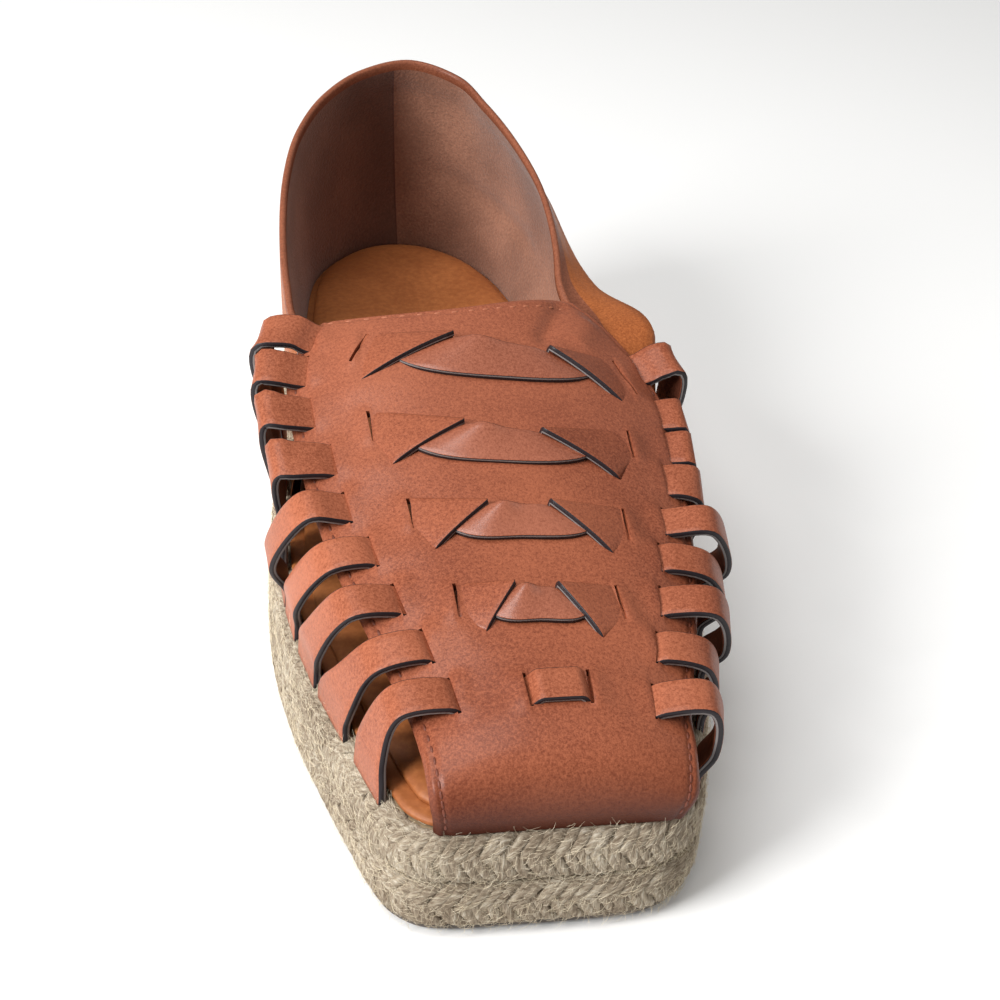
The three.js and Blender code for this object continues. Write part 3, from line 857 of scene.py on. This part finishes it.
def panel_face(place, u):
    """Point of the panel's outer face, u from -1 at the inner edge to 1 at the outer one."""
    x = half_width(place, u) * u
    y = cross_line(place, x)
    fall = along("crown", place) * np.abs(u) ** CROWN_POWER
    z = along("z", place) - fall - along("tilt", place) * x
    return np.stack([x, y, z + lift(y, 0)], axis=-1) + SHIFT


def panel_frame(place, u):
    """Panel point with its directions: up the foot, across and out of the face."""
    back = unit(panel_face(place - NUDGE, u) - panel_face(place + NUDGE, u))
    across = unit(panel_face(place, u + NUDGE) - panel_face(place, u - NUDGE))
    return panel_face(place, u), back, across, unit(np.cross(across, back))


def panel_at(x, y):
    """Place and u of the panel at a distance across and a station along the foot."""
    places = np.linspace(0, TOP_END, PANEL_SAMPLES)
    place = float(np.interp(-y, -cross_line(places, x), places))
    return place, x / float(half_width(place, x))


samples = np.linspace(0, 1, LENGTH_SAMPLES)
centre_line = panel_face(samples, np.zeros_like(samples))
panel_length = lengths(centre_line)


def panel_place(distance):
    """Place on the panel at a distance in millimetres down from its top edge."""
    return np.interp(distance, panel_length, samples)


print(f"panel {panel_length[-1]:.0f} mm long")

# %% Straps and ribbons in tables
StrapRow = namedtuple("StrapRow", "inner outer")
StrapEnd = namedtuple("StrapEnd", "x y rise swell high foot span waist", defaults=[0.3])
STRAPS = [StrapRow(*(StrapEnd(*end) for end in ends)) for ends in (
    ((38.1, -2, 2.4, 8.8, 1.04, -1.5, 9), (40.5, -8.4, 3.5, 6.2, 1.12, -1.5, 9, 0.8)),
    ((41.1, -12.2, 2.4, 6, 1.07, -12, 9), (42.5, -24.5, 1.6, 1.2, 0.9, -12.9, 9)),
    ((40.9, -25.2, 2.4, 6, 1.09, -22.5, 9), (42.4, -35, 1.6, 1.2, 0.9, -25.2, 9)),
    ((37.4, -40.4, 3.2, 6, 1.12, -33, 9), (39.2, -46.2, 1.4, 2.4, 0.85, -37.8, 9)),
    ((35.6, -54.3, 3.6, 6.8, 0.55, -45, 10), (35.6, -60.2, 4.2, 7.4, 0.55, -51.6, 10)),
    ((31.4, -67.8, 1.8, 4.4, 0.55, -57.3, 11.2), (31.6, -72, 1.6, 5.2, 0.55, -65.6, 10)),
    ((27.5, -81.9, 3.6, 4.6, 0.55, -73, 13), (28.7, -84.8, 4.2, 5.6, 0.55, -80.6, 11)),
    ((23.2, -94.9, 1.8, 3, 0.55, -89.8, 16), (24.7, -97.9, 1.6, 3.4, 0.55, -96, 11)),
    ((19.6, -107.8, 3.2, 3.2, 0.55, -110, 14.3), (21, -112, 4.2, 4.4, 0.55, -115, 10)),
)]
Spot = namedtuple("Spot", "x y")
RibbonEnd = namedtuple("RibbonEnd", "back slit corner turn")
RibbonRow = namedtuple("RibbonRow", "name inner lows outer")


def ribbon_row(number, inner, lows, outer):
    inner, outer = (RibbonEnd(*(Spot(*place) for place in end)) for end in (inner, outer))
    return RibbonRow(f"ribbon_{number}", inner, lows, outer)


RIBBONS = [
    ribbon_row(1, ((-27.5, -5.2), (-29.6, -14.4), (-31, -21.4), (-6.3, -10.4)),
               ((-17, -18.8), (5.3, -23.2), (22.5, -21.4)),
               ((35, -9.4), (36.6, -21), (33.5, -25.7), (16.2, -13.7))),
    ribbon_row(2, ((-28.3, -29.8), (-28.3, -38), (-25, -46.3), (-7.6, -37.8)),
               ((-16.9, -44.6), (-0.8, -48.4), (17.6, -47)),
               ((32, -34.6), (32.4, -42), (27.1, -50.2), (9.8, -40.4))),
    ribbon_row(3, ((-22.2, -56.3), (-22.4, -64), (-18.6, -71.4), (-5.8, -61.5)),
               ((-11.6, -68.9), (0.4, -70.2), (13.6, -69.4)),
               ((25.2, -59.7), (25.5, -68.5), (20.6, -73.8), (7.9, -61.7))),
    ribbon_row(4, ((-15.4, -81.5), (-16.2, -89.6), (-11, -94.6), (-3.5, -84.4)),
               ((-7.7, -92.1), (0.8, -93), (8.9, -92.9)),
               ((18.4, -82.9), (19.8, -91.1), (13.2, -97.3), (5.3, -85.1))),
]
BarRow = namedtuple("BarRow", "name inner outer front back")
TOE_BAR = BarRow("toe_bar", -5, 7.8, -113.4, -105.8)
STRAP_WIDTH = 8.4
SLIT_LIP = 0.55
LIP_REACH = 2.6
LIP_PLACE, LIP_SPAN = 0.9, 0.62
LIP_START, LIP_END = -0.7, 0.5
STITCH_INSET = 2.4
Slit = namedtuple("Slit", "x y width lean lip")


def find_slits():
    """Every slit of the panel: its middle, its width, its lean and the side its lip is on."""
    found = []
    for row in STRAPS:
        found.append(Slit(-row.inner.x, row.inner.y, STRAP_WIDTH, 0, 1))
        found.append(Slit(row.outer.x, row.outer.y, STRAP_WIDTH, 0, -1))
    for row in RIBBONS:
        for end, lip in ((row.inner, -1), (row.outer, 1)):
            middle = ((end.back.x + end.slit.x) / 2, (end.back.y + end.slit.y) / 2)
            width = math.dist(end.back, end.slit)
            found.append(Slit(*middle, width, (end.back.x - end.slit.x) / width, lip))
    middle = (TOE_BAR.front + TOE_BAR.back) / 2
    for x, lip in ((TOE_BAR.inner, -1), (TOE_BAR.outer, 1)):
        found.append(Slit(x, middle, TOE_BAR.back - TOE_BAR.front, 0, lip))
    return found


SLITS = find_slits()
print(len(SLITS), "slits,", 2 * len(STRAPS), "straps,", len(RIBBONS), "ribbons")

# %% Relief of the panel
Puff = namedtuple("Puff", "x y reach height")
Crease = namedtuple("Crease", "start end reach depth")
PUFFS = [Puff(-31, -22, 6, 0.5), Puff(-29, -45, 6, 0.55), Puff(-24, -69, 6, 0.55),
         Puff(-18, -94, 6, 0.5), Puff(37, -27, 6, 0.45), Puff(33, -48, 6, 0.45),
         Puff(26, -74, 6, 0.45), Puff(21, -97, 5.5, 0.4)]
CREASES = [Crease(Spot(25, 9), Spot(16, -8), 2.2, 1.0),
           Crease(Spot(31, 4), Spot(25, -7), 3.0, -0.8)]
CREASE_SPAN = (-0.15, 0.15, 0.85, 1.15)
Ripple = namedtuple("Ripple", "height across along phase")
BROAD = Ripple(0.28, 9.0, 11.0, 1.3)
FINE = Ripple(0.12, 14.0, 5.3, 0.0)
CALM_START, CALM_END = -112, -122
EDGE_ROLL = 1.2
ROLL_REACH = 2.0
SEAM_DEPTH = 0.3
GROOVE_REACH = 0.7


def crease_at(crease, x, y):
    """Strength of a crease, 1 on its line and fading to its sides and ends."""
    start, end = np.array(crease.start), np.array(crease.end)
    line = end - start
    share = ((x - start[0]) * line[0] + (y - start[1]) * line[1]) / (line @ line)
    away = ((x - start[0]) * line[1] - (y - start[1]) * line[0]) / math.hypot(*line)
    return swell(0, crease.reach, away) * plateau(share, *CREASE_SPAN)


def panel_relief(points, place, u):
    """Height over the panel's form: slit lips, puffs, creases, rolled and sewn edges."""
    x, y = points[:, 0] - SHIFT[0], points[:, 1] - SHIFT[1]
    height = BROAD.height * np.sin(x / BROAD.across + BROAD.phase) * np.sin(y / BROAD.along)
    height += FINE.height * np.sin(y / FINE.along + x / FINE.across + FINE.phase)
    height *= smooth(CALM_END, CALM_START, y)
    for slit in SLITS:
        away = (x - slit.x - slit.lean * (y - slit.y)) * slit.lip
        beside = np.exp(-(((y - slit.y) / (LIP_SPAN * slit.width)) ** 4))
        lip = swell(LIP_PLACE, LIP_REACH, away) * smooth(LIP_START, LIP_END, away)
        height += SLIT_LIP * lip * beside
    for puff in PUFFS:
        height += puff.height * swell(0, puff.reach, np.hypot(x - puff.x, y - puff.y))
    for crease in CREASES:
        height -= crease.depth * crease_at(crease, x, y)
    for edge in (half_width(place, u) * (1 - np.abs(u)), np.interp(place, samples, panel_length)):
        height -= EDGE_ROLL * (1 - np.clip(edge / ROLL_REACH, 0, 1)) ** 2
        height -= SEAM_DEPTH * swell(STITCH_INSET, GROOVE_REACH, edge)
    return height


print(len(PUFFS), "puffs,", len(CREASES), "creases")

# %% Panel
PANEL_STEPS = (220, 240)
PANEL_FACE = 0.62
CROWDING = 0.6


def panel_sheet(s, t):
    """Outer face for t up to PANEL_FACE, then back along the lining; both ends are closed."""
    step = 1 / PANEL_STEPS[0]
    place = panel_place(np.clip((s - step) / (1 - 2 * step), 0, 1) * panel_length[-1])
    way = np.where(t <= PANEL_FACE, t / PANEL_FACE, (1 - t) / (1 - PANEL_FACE))
    u = (1 - CROWDING) * (2 * way - 1) + CROWDING * np.sin(np.pi * (way - 0.5))
    origin, _, _, out = panel_frame(place, u)
    height = panel_relief(origin, place, u)
    inside = (t > PANEL_FACE) & (t < 1) & (s > 0) & (s < 1)
    return origin + out * np.where(inside, -PANEL_WALL, height)[:, None]


panel = drape("vamp_panel", *PANEL_STEPS, panel_sheet)
panel.data.materials.append(panel_leather)
panel.data.materials.append(lining_suede)
part_faces(panel, min, PANEL_FACE)
print(f"{panel.name}: {len(panel.data.polygons)} faces before the cuts")

# %% [markdown]
# ### Slits
# Each strap and ribbon comes up through a slit. The slits are cut by one Boolean with thin
# boxes, so that a dark gap shows beside the strap, as in the real cut.

# %% Cut the slits
SLIT_WIDTH = 0.75
SLIT_SPARE = 0.9
SLIT_DEPTH = 9.0
SHARP = math.radians(40)


def slit_cutters():
    deselect()
    made = []
    for slit in SLITS:
        origin, back, aside, out = panel_frame(*panel_at(slit.x, slit.y))
        back = unit(back + aside * slit.lean)
        aside = np.cross(back, out)
        bpy.ops.mesh.primitive_cube_add(size=1)
        cube = bpy.context.object
        size = np.diag([SLIT_WIDTH, slit.width + SLIT_SPARE, SLIT_DEPTH])
        turn = np.column_stack([aside, back, out]) @ size * MM
        matrix = Matrix([[*turn[k], origin[k] * MM] for k in range(3)] + [[0, 0, 0, 1]])
        cube.data.transform(matrix)
        made.append(cube)
    pick(*made)
    bpy.ops.object.join()
    return made[0]


cutters = slit_cutters()
modify(panel, "BOOLEAN", operation="DIFFERENCE", object=cutters, solver="EXACT")
bpy.data.objects.remove(cutters)
pick(panel)
bpy.ops.object.shade_smooth_by_angle(angle=SHARP)
seat(panel, "leather", [], "upper")

# %% [markdown]
# ## Straps
# A strap is a long flat tube: a section with square, slightly rounded edges is carried along a
# curve, out of the slit, over the panel's margin and round into the sole, where it is cut along
# the edge and so gets wider.

# %% Strip helper
SECTION_SIDES = 20
SECTION_TURNS = [0, *EDGE_ZONES[0], *EDGE_ZONES[1]]
EDGE_ROUND = 0.35
SQUARENESS, FULLNESS = 0.6, 0.5


def section(t):
    """Across and through, each from -1 to 1, and bulge of a point on a strip's section."""
    across = np.interp(t, SECTION_TURNS, [-1, 1, 1, -1, -1])
    turn = np.interp(t, SECTION_TURNS, [0.5, 0.5, -0.5, -0.5, 0.5]) * np.pi
    through = np.sign(np.sin(turn)) * np.abs(np.sin(turn)) ** SQUARENESS
    return across, through, np.abs(np.cos(turn)) ** FULLNESS


def strip(name, rear, front, half_thick, sides=SECTION_SIDES):
    """Flat strip between two edge lines, with square edges and closed ends."""
    rear, front = (np.vstack([line[:1], line, line[-1:]]) for line in (rear, front))
    path = (rear + front) / 2
    half = np.linalg.norm(front - rear, axis=1) / 2
    wide = unit(front - rear)
    ahead = unit(np.gradient(path, axis=0))
    face = unit(np.cross(wide, ahead))
    thick = np.full(len(path), half_thick)
    thick[[0, -1]] = 0

    def place(s, t):
        i = np.rint(s * (len(path) - 1)).astype(int)
        across, through, bulge = section(t)
        reach = across * (half[i] - EDGE_ROUND * (1 - bulge))
        return path[i] + wide[i] * reach[:, None] + face[i] * (through * thick[i])[:, None]

    return drape(name, len(path) - 1, sides, place)


print("a strip has", SECTION_SIDES, "faces round")

# %% Side straps
STRAP_THICK = 1.8
STRAP_STEPS = 46
STRAP_LEAVE = 0.055
WALL_INSET = 5.2
FOOT_INSET = 3.2
RING_TOP = 27.9
FOOT_STAND = 4.0
FOOT_SINK = 3.4
HIDDEN_RUN = 0.16
TURN_START, TURN_END = 0.35, 0.85
FOOT_SPAN = 0.006
SQUARE_HIGH = 0.8
STRAP_TWIST, TWIST_SPAN = 0.4, (0.25, 0.5, 0.7, 1)
STRAP_SPREAD, SPREAD_PLACE, SPREAD_REACH = 2.0, 0.35, 0.3
FLARE_START = 0.45
SIT_GAP, UNDER_GAP = 0.1, 0.3
SLIT_LEVEL = 0.45


def strap(number, row, side):
    """Strap from under the panel, up through its slit, over the margin and down to its foot."""
    end = row.inner if side < 0 else row.outer
    place, u = panel_at(side * end.x, end.y)
    slit, slit_back, _, slit_out = panel_frame(place, u)
    under, _, _, under_out = panel_frame(place, u - side * HIDDEN_RUN)
    leave_u = u + side * min(STRAP_LEAVE, (1 - abs(u)) / 2)
    leave, _, _, leave_out = panel_frame(place, leave_u)
    edge, _, _, edge_out = panel_frame(place, side)
    share = share_at(side, end.foot + SHIFT[1])
    shares = share + np.array([-1, 0, 1]) * FOOT_SPAN
    before, foot, after = rim(shares, np.full(3, FOOT_INSET), RING_TOP - FOOT_SINK)
    level = unit((after - before) * -side)
    bulge = foot * (1 - end.high) + edge * end.high
    bulge[0] += side * end.swell
    sit = STRAP_THICK / 2 + SIT_GAP
    stops = [
        under - under_out * (PANEL_WALL + STRAP_THICK / 2 + UNDER_GAP),
        slit - slit_out * PANEL_WALL * SLIT_LEVEL,
        leave + leave_out * sit,
        edge + edge_out * (sit + end.rise),
        bulge,
    ]
    square = end.high > SQUARE_HIGH
    if square:
        stops.append((foot + edge) / 2 + np.array([side * end.swell * end.waist, 0, 0]))
    path = smooth_line([*stops, foot + UP * FOOT_STAND, foot], STRAP_STEPS)
    share = np.linspace(0, 1, STRAP_STEPS + 1)[:, None]
    ahead = unit(np.gradient(path, axis=0)) * side
    turn = smooth(TURN_START, TURN_END, share)
    twist = STRAP_TWIST * square * plateau(share, *TWIST_SPAN)
    wide = slit_back * (1 - turn) + level * turn + UP * twist
    face = unit(np.cross(ahead, wide))
    flare = smooth(FLARE_START, 1, share)
    wide = unit(np.cross(face, ahead) * (1 - flare) + level * flare)
    name = f"strap_{'inner' if side < 0 else 'outer'}_{number}"
    width = STRAP_WIDTH + (end.span - STRAP_WIDTH) * flare
    width = width + STRAP_SPREAD * square * swell(SPREAD_PLACE, SPREAD_REACH, share)
    reach = wide * width / 2 * side
    return strip(name, path + reach, path - reach, STRAP_THICK / 2)


for number, row in enumerate(STRAPS, 1):
    for side in (-1, 1):
        seat(strap(number, row, side), "leather", [strap_leather], "upper")

# %% [markdown]
# ## Ribbons
# Four ribbons are laced across the panel. Each comes out of a slit face up, turns over, runs
# across with its other face up, and turns back into the opposite slit. The turn is a flat fold:
# a triangular flap lies on top, its cut edge runs slantwise from the slit to the fold, and the
# band comes out from under it. Both edges of the ribbon are drawn, and the strip spans them.

# %% Ribbons
RIBBON_THICK = 1.5
RIBBON_SIDES = 30
FLAP_STEPS, FOLD_STEPS, BAND_STEPS = 14, 8, 56
SLIT_SINK = 0.8
CORNER_SINK = 0.95
FLAP_TOP = 2.5
FLAP_RISE = 0.5
BAND_LOW, BAND_EDGE = -0.05, 0.55
BAND_TOPS = [(0.0, BAND_LOW), (0.25, 2.4), (0.55, 1.3), (0.85, 0.9), (1.0, BAND_LOW)]
UNDER_SINK = 1.7


def spot(place, height):
    """Point at a height over the panel, from its place across and along."""
    origin, _, _, out = panel_frame(*panel_at(*place))
    return origin + out * height


def blend(first, second, share):
    """Place at a share of the way from one place to another."""
    return [a + (b - a) * share for a, b in zip(first, second)]


def flap(end):
    """Edge lines of the face-up end, from its front corner to the fold at its back."""
    rear, front = [], []
    for share in np.linspace(0, 1, FLAP_STEPS):
        rise = share**FLAP_RISE
        rear.append(spot(blend(end.slit, end.back, share), -SLIT_SINK))
        height = FLAP_TOP * rise - CORNER_SINK * (1 - rise)
        front.append(spot(blend(end.corner, end.turn, share), height))
    for turn in np.linspace(0, np.pi, FOLD_STEPS)[1:-1]:
        over = (1 - math.cos(turn)) / 2
        push = np.array([0, math.sin(turn) * RIBBON_THICK / 2, 0])
        rear.append(spot(end.back, -SLIT_SINK - (UNDER_SINK - SLIT_SINK) * over) + push)
        front.append(spot(end.turn, FLAP_TOP + (BAND_LOW - FLAP_TOP) * over) + push)
    return rear, front


def ribbon(row):
    """Ribbon of two flaps with the band between them."""
    low = smooth_line([spot(row.inner.back, -UNDER_SINK),
                       *(spot(place, BAND_EDGE) for place in row.lows),
                       spot(row.outer.back, -UNDER_SINK)], BAND_STEPS)
    high = smooth_line([spot(blend(row.inner.turn, row.outer.turn, share), height)
                        for share, height in BAND_TOPS], BAND_STEPS)
    rear_in, front_in = flap(row.inner)
    rear_out, front_out = flap(row.outer)
    rear = np.array([*rear_in, *low, *rear_out[::-1]])
    front = np.array([*front_in, *high, *front_out[::-1]])
    return strip(row.name + "_leather", rear, front, RIBBON_THICK / 2, RIBBON_SIDES)


for row in RIBBONS:
    seat(ribbon(row), "leather", [ribbon_leather], row.name)

# %% Toe bar
BAR_STEPS = 30
BAR_RUN = 2.6
BAR_TOP, BAR_SINK = 1.1, 2
BAR_PAST = 0.6


def toe_bar(row):
    """Short strip that rises out of one slit and sinks into the next."""
    edges = []
    for y in (row.front, row.back):
        line = []
        for x in np.linspace(row.inner - BAR_PAST, row.outer + BAR_PAST, BAR_STEPS):
            rise = smooth(-BAR_PAST, BAR_RUN, min(x - row.inner, row.outer - x))
            line.append(spot((x, y), BAR_TOP * rise - BAR_SINK * (1 - rise)))
        edges.append(np.array(line))
    return strip(row.name + "_leather", edges[1], edges[0], RIBBON_THICK / 2)


seat(toe_bar(TOE_BAR), "leather", [strap_leather], TOE_BAR.name)

# %% [markdown]
# ## Heel cup
# The quarter is a soft wall round the heel, smooth leather outside and suede inside, with a
# rolled top edge. Its grid goes up the outer face, over the edge and down the lining. The two
# halves meet at a seam at the back, which makes a slight ridge.

# %% Base and top line of the quarter
TOP_LINE = np.array([
    (-42.2, 17, 63.6), (-43.4, 29, 66.8), (-43, 50, 73), (-40.4, 71, 79.2), (-35.4, 90, 83.7),
    (-27, 105.5, 87.7), (-15.5, 115.5, 91.2), (0, 119.5, 93.2), (14, 112.6, 90.9),
    (20, 100.3, 87.9), (25, 85, 84.8), (29, 65, 80.7), (30, 50, 77), (29.6, 37, 73.4),
    (28.4, 24, 69.2), (30, 13, 66),
])
QUARTER_FRONT = -12
QUARTER_STEPS = 190
QUARTER_WALL = 1.9
BASE_LEVEL = RING_TOP - 1.5
HEEL_START = 90
TUCK_X, TUCK_U = 40, 0.8


def tuck(side, y):
    """Corner of the quarter, hidden under the panel."""
    place, _ = panel_at(side * TUCK_X, y)
    origin, _, _, out = panel_frame(place, side * TUCK_U)
    return origin - out * (PANEL_WALL + QUARTER_WALL / 2)


top_points = [tuck(-1, QUARTER_FRONT), tuck(-1, 0), *(TOP_LINE + SHIFT),
              tuck(1, 0), tuck(1, QUARTER_FRONT)]
top_line = smooth_line(top_points, QUARTER_STEPS)
first, final = (share_at(side, QUARTER_FRONT + SHIFT[1]) for side in (-1, 1))
base_share = np.linspace(first, final, QUARTER_STEPS + 1)
base_inset = np.full(QUARTER_STEPS + 1, WALL_INSET)
base_line = rim(base_share, base_inset, BASE_LEVEL)
base_out = unit(base_line - rim(base_share, base_inset + 1, BASE_LEVEL))
base_out[:, 2] = 0
quarter_length = lengths(base_line)
heel = base_line[:, 1] > HEEL_START
back_point = float(np.interp(0.0, base_line[heel, 0], quarter_length[heel]))
print(f"quarter {quarter_length[-1]:.0f} mm round, back seam at {back_point:.0f} mm")

# %% Quarter
QUARTER_COLS = 56
INNER_SWELL, OUTER_SWELL, HUMP_SWELL, BACK_SWELL = 1.5, 7.5, 18, 2.6
HUMP_PLACE, HUMP_AHEAD, HUMP_BEHIND = 6, 15, 28
HUMP_LEAN, HUMP_LIFT = 2.6, 7
SEAM_RIDGE, SEAM_REACH, SEAM_SPAN = 2.8, 8.0, (0, 0.25, 0.8, 1)
EDGE, ROLL, WALL_END = (0.4, 0.6), (0.46, 0.54), (0.98, 1)
SUNK_START, SUNK_END = 0.3, 0.6
RIM_LOW, RIM_HIGH = 0.45, 0.545
WallCrease = namedtuple("WallCrease", "start end high low reach depth")
WALL_CREASE = WallCrease(0.535, 0.69, 0.43, 0.37, 0.05, 1.1)
FOLD_SPAN = (-0.1, 0.15, 0.9, 1.2)


def quarter_place(s, t):
    """Up the outer face, over the rolled edge and down the lining."""
    i = np.rint(s * QUARTER_STEPS).astype(int)
    low, high, out = base_line[i], top_line[i], base_out[i]
    y = low[:, 1]
    hump = swell(HUMP_PLACE, np.where(y < HUMP_PLACE, HUMP_AHEAD, HUMP_BEHIND), y)
    hump = hump * (out[:, 0] > 0)
    side = np.where(out[:, 0] < 0, INNER_SWELL, OUTER_SWELL + (HUMP_SWELL - OUTER_SWELL) * hump)
    reach = side + (BACK_SWELL - side) * np.abs(out[:, 1])
    q = np.interp(t, [0, *ROLL, *WALL_END], [0, 1, 1, 0, 0])
    arch = np.sin(np.pi * q ** (1 + HUMP_LEAN * hump))
    bow = reach * arch
    seam = SEAM_RIDGE * np.exp(-np.abs(quarter_length[i] - back_point) / SEAM_REACH)
    seam = seam * plateau(q, *SEAM_SPAN)
    fold = WALL_CREASE
    way = (s - fold.start) / (fold.end - fold.start)
    level = fold.high + (fold.low - fold.high) * way
    bow = bow + fold.depth * plateau(way, *FOLD_SPAN) * swell(level, fold.reach, q)
    roll = np.interp(t, ROLL, [0, 1]) * np.pi
    inside = QUARTER_WALL * (1 - np.cos(roll)) / 2 * np.interp(t, WALL_END, [1, 0])
    sunk = inside * hump * smooth(SUNK_START, SUNK_END, q)
    point = low + (high - low) * q[:, None] + out * (bow + seam - inside)[:, None]
    point[:, 2] += QUARTER_WALL / 2 * (np.sin(roll) - 1) * (t > EDGE[0]) * (t < EDGE[1])
    point[:, 2] += HUMP_LIFT * hump**2 * arch - sunk
    return point


quarter = drape("heel_quarter", QUARTER_STEPS, QUARTER_COLS, quarter_place)
seat(quarter, "leather", [quarter_leather, rim_leather, heel_suede], "upper")
# the rolled top edge takes the darker rim finish, which is painted shade
part_faces(quarter, np.mean, RIM_LOW, RIM_HIGH)

# %% [markdown]
# ## Stitches
# The panel's edges are sewn about two millimetres in. A stitch is a small sphere drawn out to a
# grain of thread and sunk into the leather. It is modelled once, and its copies are one mesh.

# %% Stitches
STITCH_PITCH = 2.7
STITCH_HALF = (0.36, 0.95, 0.3)
STITCH_SINK = 0.05
SEAM_START, SEAM_END = 14, 2
TOP_SPAN, TOP_HALF = 0.9, 24


def seam(places, u, along_edge):
    """Seam points on the panel, with the heading of their stitches and the way out."""
    origin, back, across, out = panel_frame(places, u)
    height = panel_relief(origin, places, u) - STITCH_SINK
    return origin + out * height[:, None], back if along_edge else across, out


def stitches(name, seams):
    """Copies of one stitch along some seams, as one mesh."""
    deselect()
    bpy.ops.mesh.primitive_uv_sphere_add(segments=8, ring_count=6, radius=1)
    pattern = bpy.context.object
    ball = np.array([v.co for v in pattern.data.vertices]) * STITCH_HALF
    faces = [list(face.vertices) for face in pattern.data.polygons]
    bpy.data.objects.remove(pattern)
    points, polygons = [], []
    for centres, leads, outs in seams:
        for centre, lead, out in zip(centres, leads, outs):
            polygons += [[v + len(points) * len(ball) for v in face] for face in faces]
            points.append(centre + ball @ np.array([np.cross(lead, out), lead, out]))
    piece = from_arrays(name, np.vstack(points), polygons)
    piece.data.shade_smooth()
    return piece


downs = panel_place(np.arange(SEAM_START, panel_length[-1] - SEAM_END, STITCH_PITCH))
sides = [seam(downs, side * (1 - STITCH_INSET / half_width(downs, side)), True) for side in (-1, 1)]
acrosses = np.arange(-TOP_SPAN, TOP_SPAN, STITCH_PITCH / TOP_HALF)
tops = [seam(panel_place(np.full(len(acrosses), STITCH_INSET)), acrosses, False)]
brown_thread = two_tone("brown_thread", 2400.0, rgb(74, 34, 22), rgb(128, 66, 44), 0.6)
tan_thread = two_tone("tan_thread", 2400.0, rgb(146, 82, 56), rgb(182, 112, 82), 0.6)
seat(stitches("side_stitches", sides), "leather", [brown_thread])
seat(stitches("top_stitches", tops), "leather", [tan_thread])

# %% [markdown]
# ## Floor
# A plain pale floor, much larger than the view. It glows a little, like a lit studio table.

# %% Floor
FLOOR_SIZE = 8
FLOOR_GLOW = 0.06

deselect()
bpy.ops.mesh.primitive_plane_add(size=FLOOR_SIZE)
floor = bpy.context.object
floor.name = "floor"
floor_finish = Finish("pale_floor")
floor.data.materials.append(floor_finish.shade(
    base_color=rgb(251, 251, 250), roughness=0.7, emission_color=rgb(255, 255, 255),
    emission_strength=FLOOR_GLOW))
print("floor", FLOOR_SIZE, "m wide")
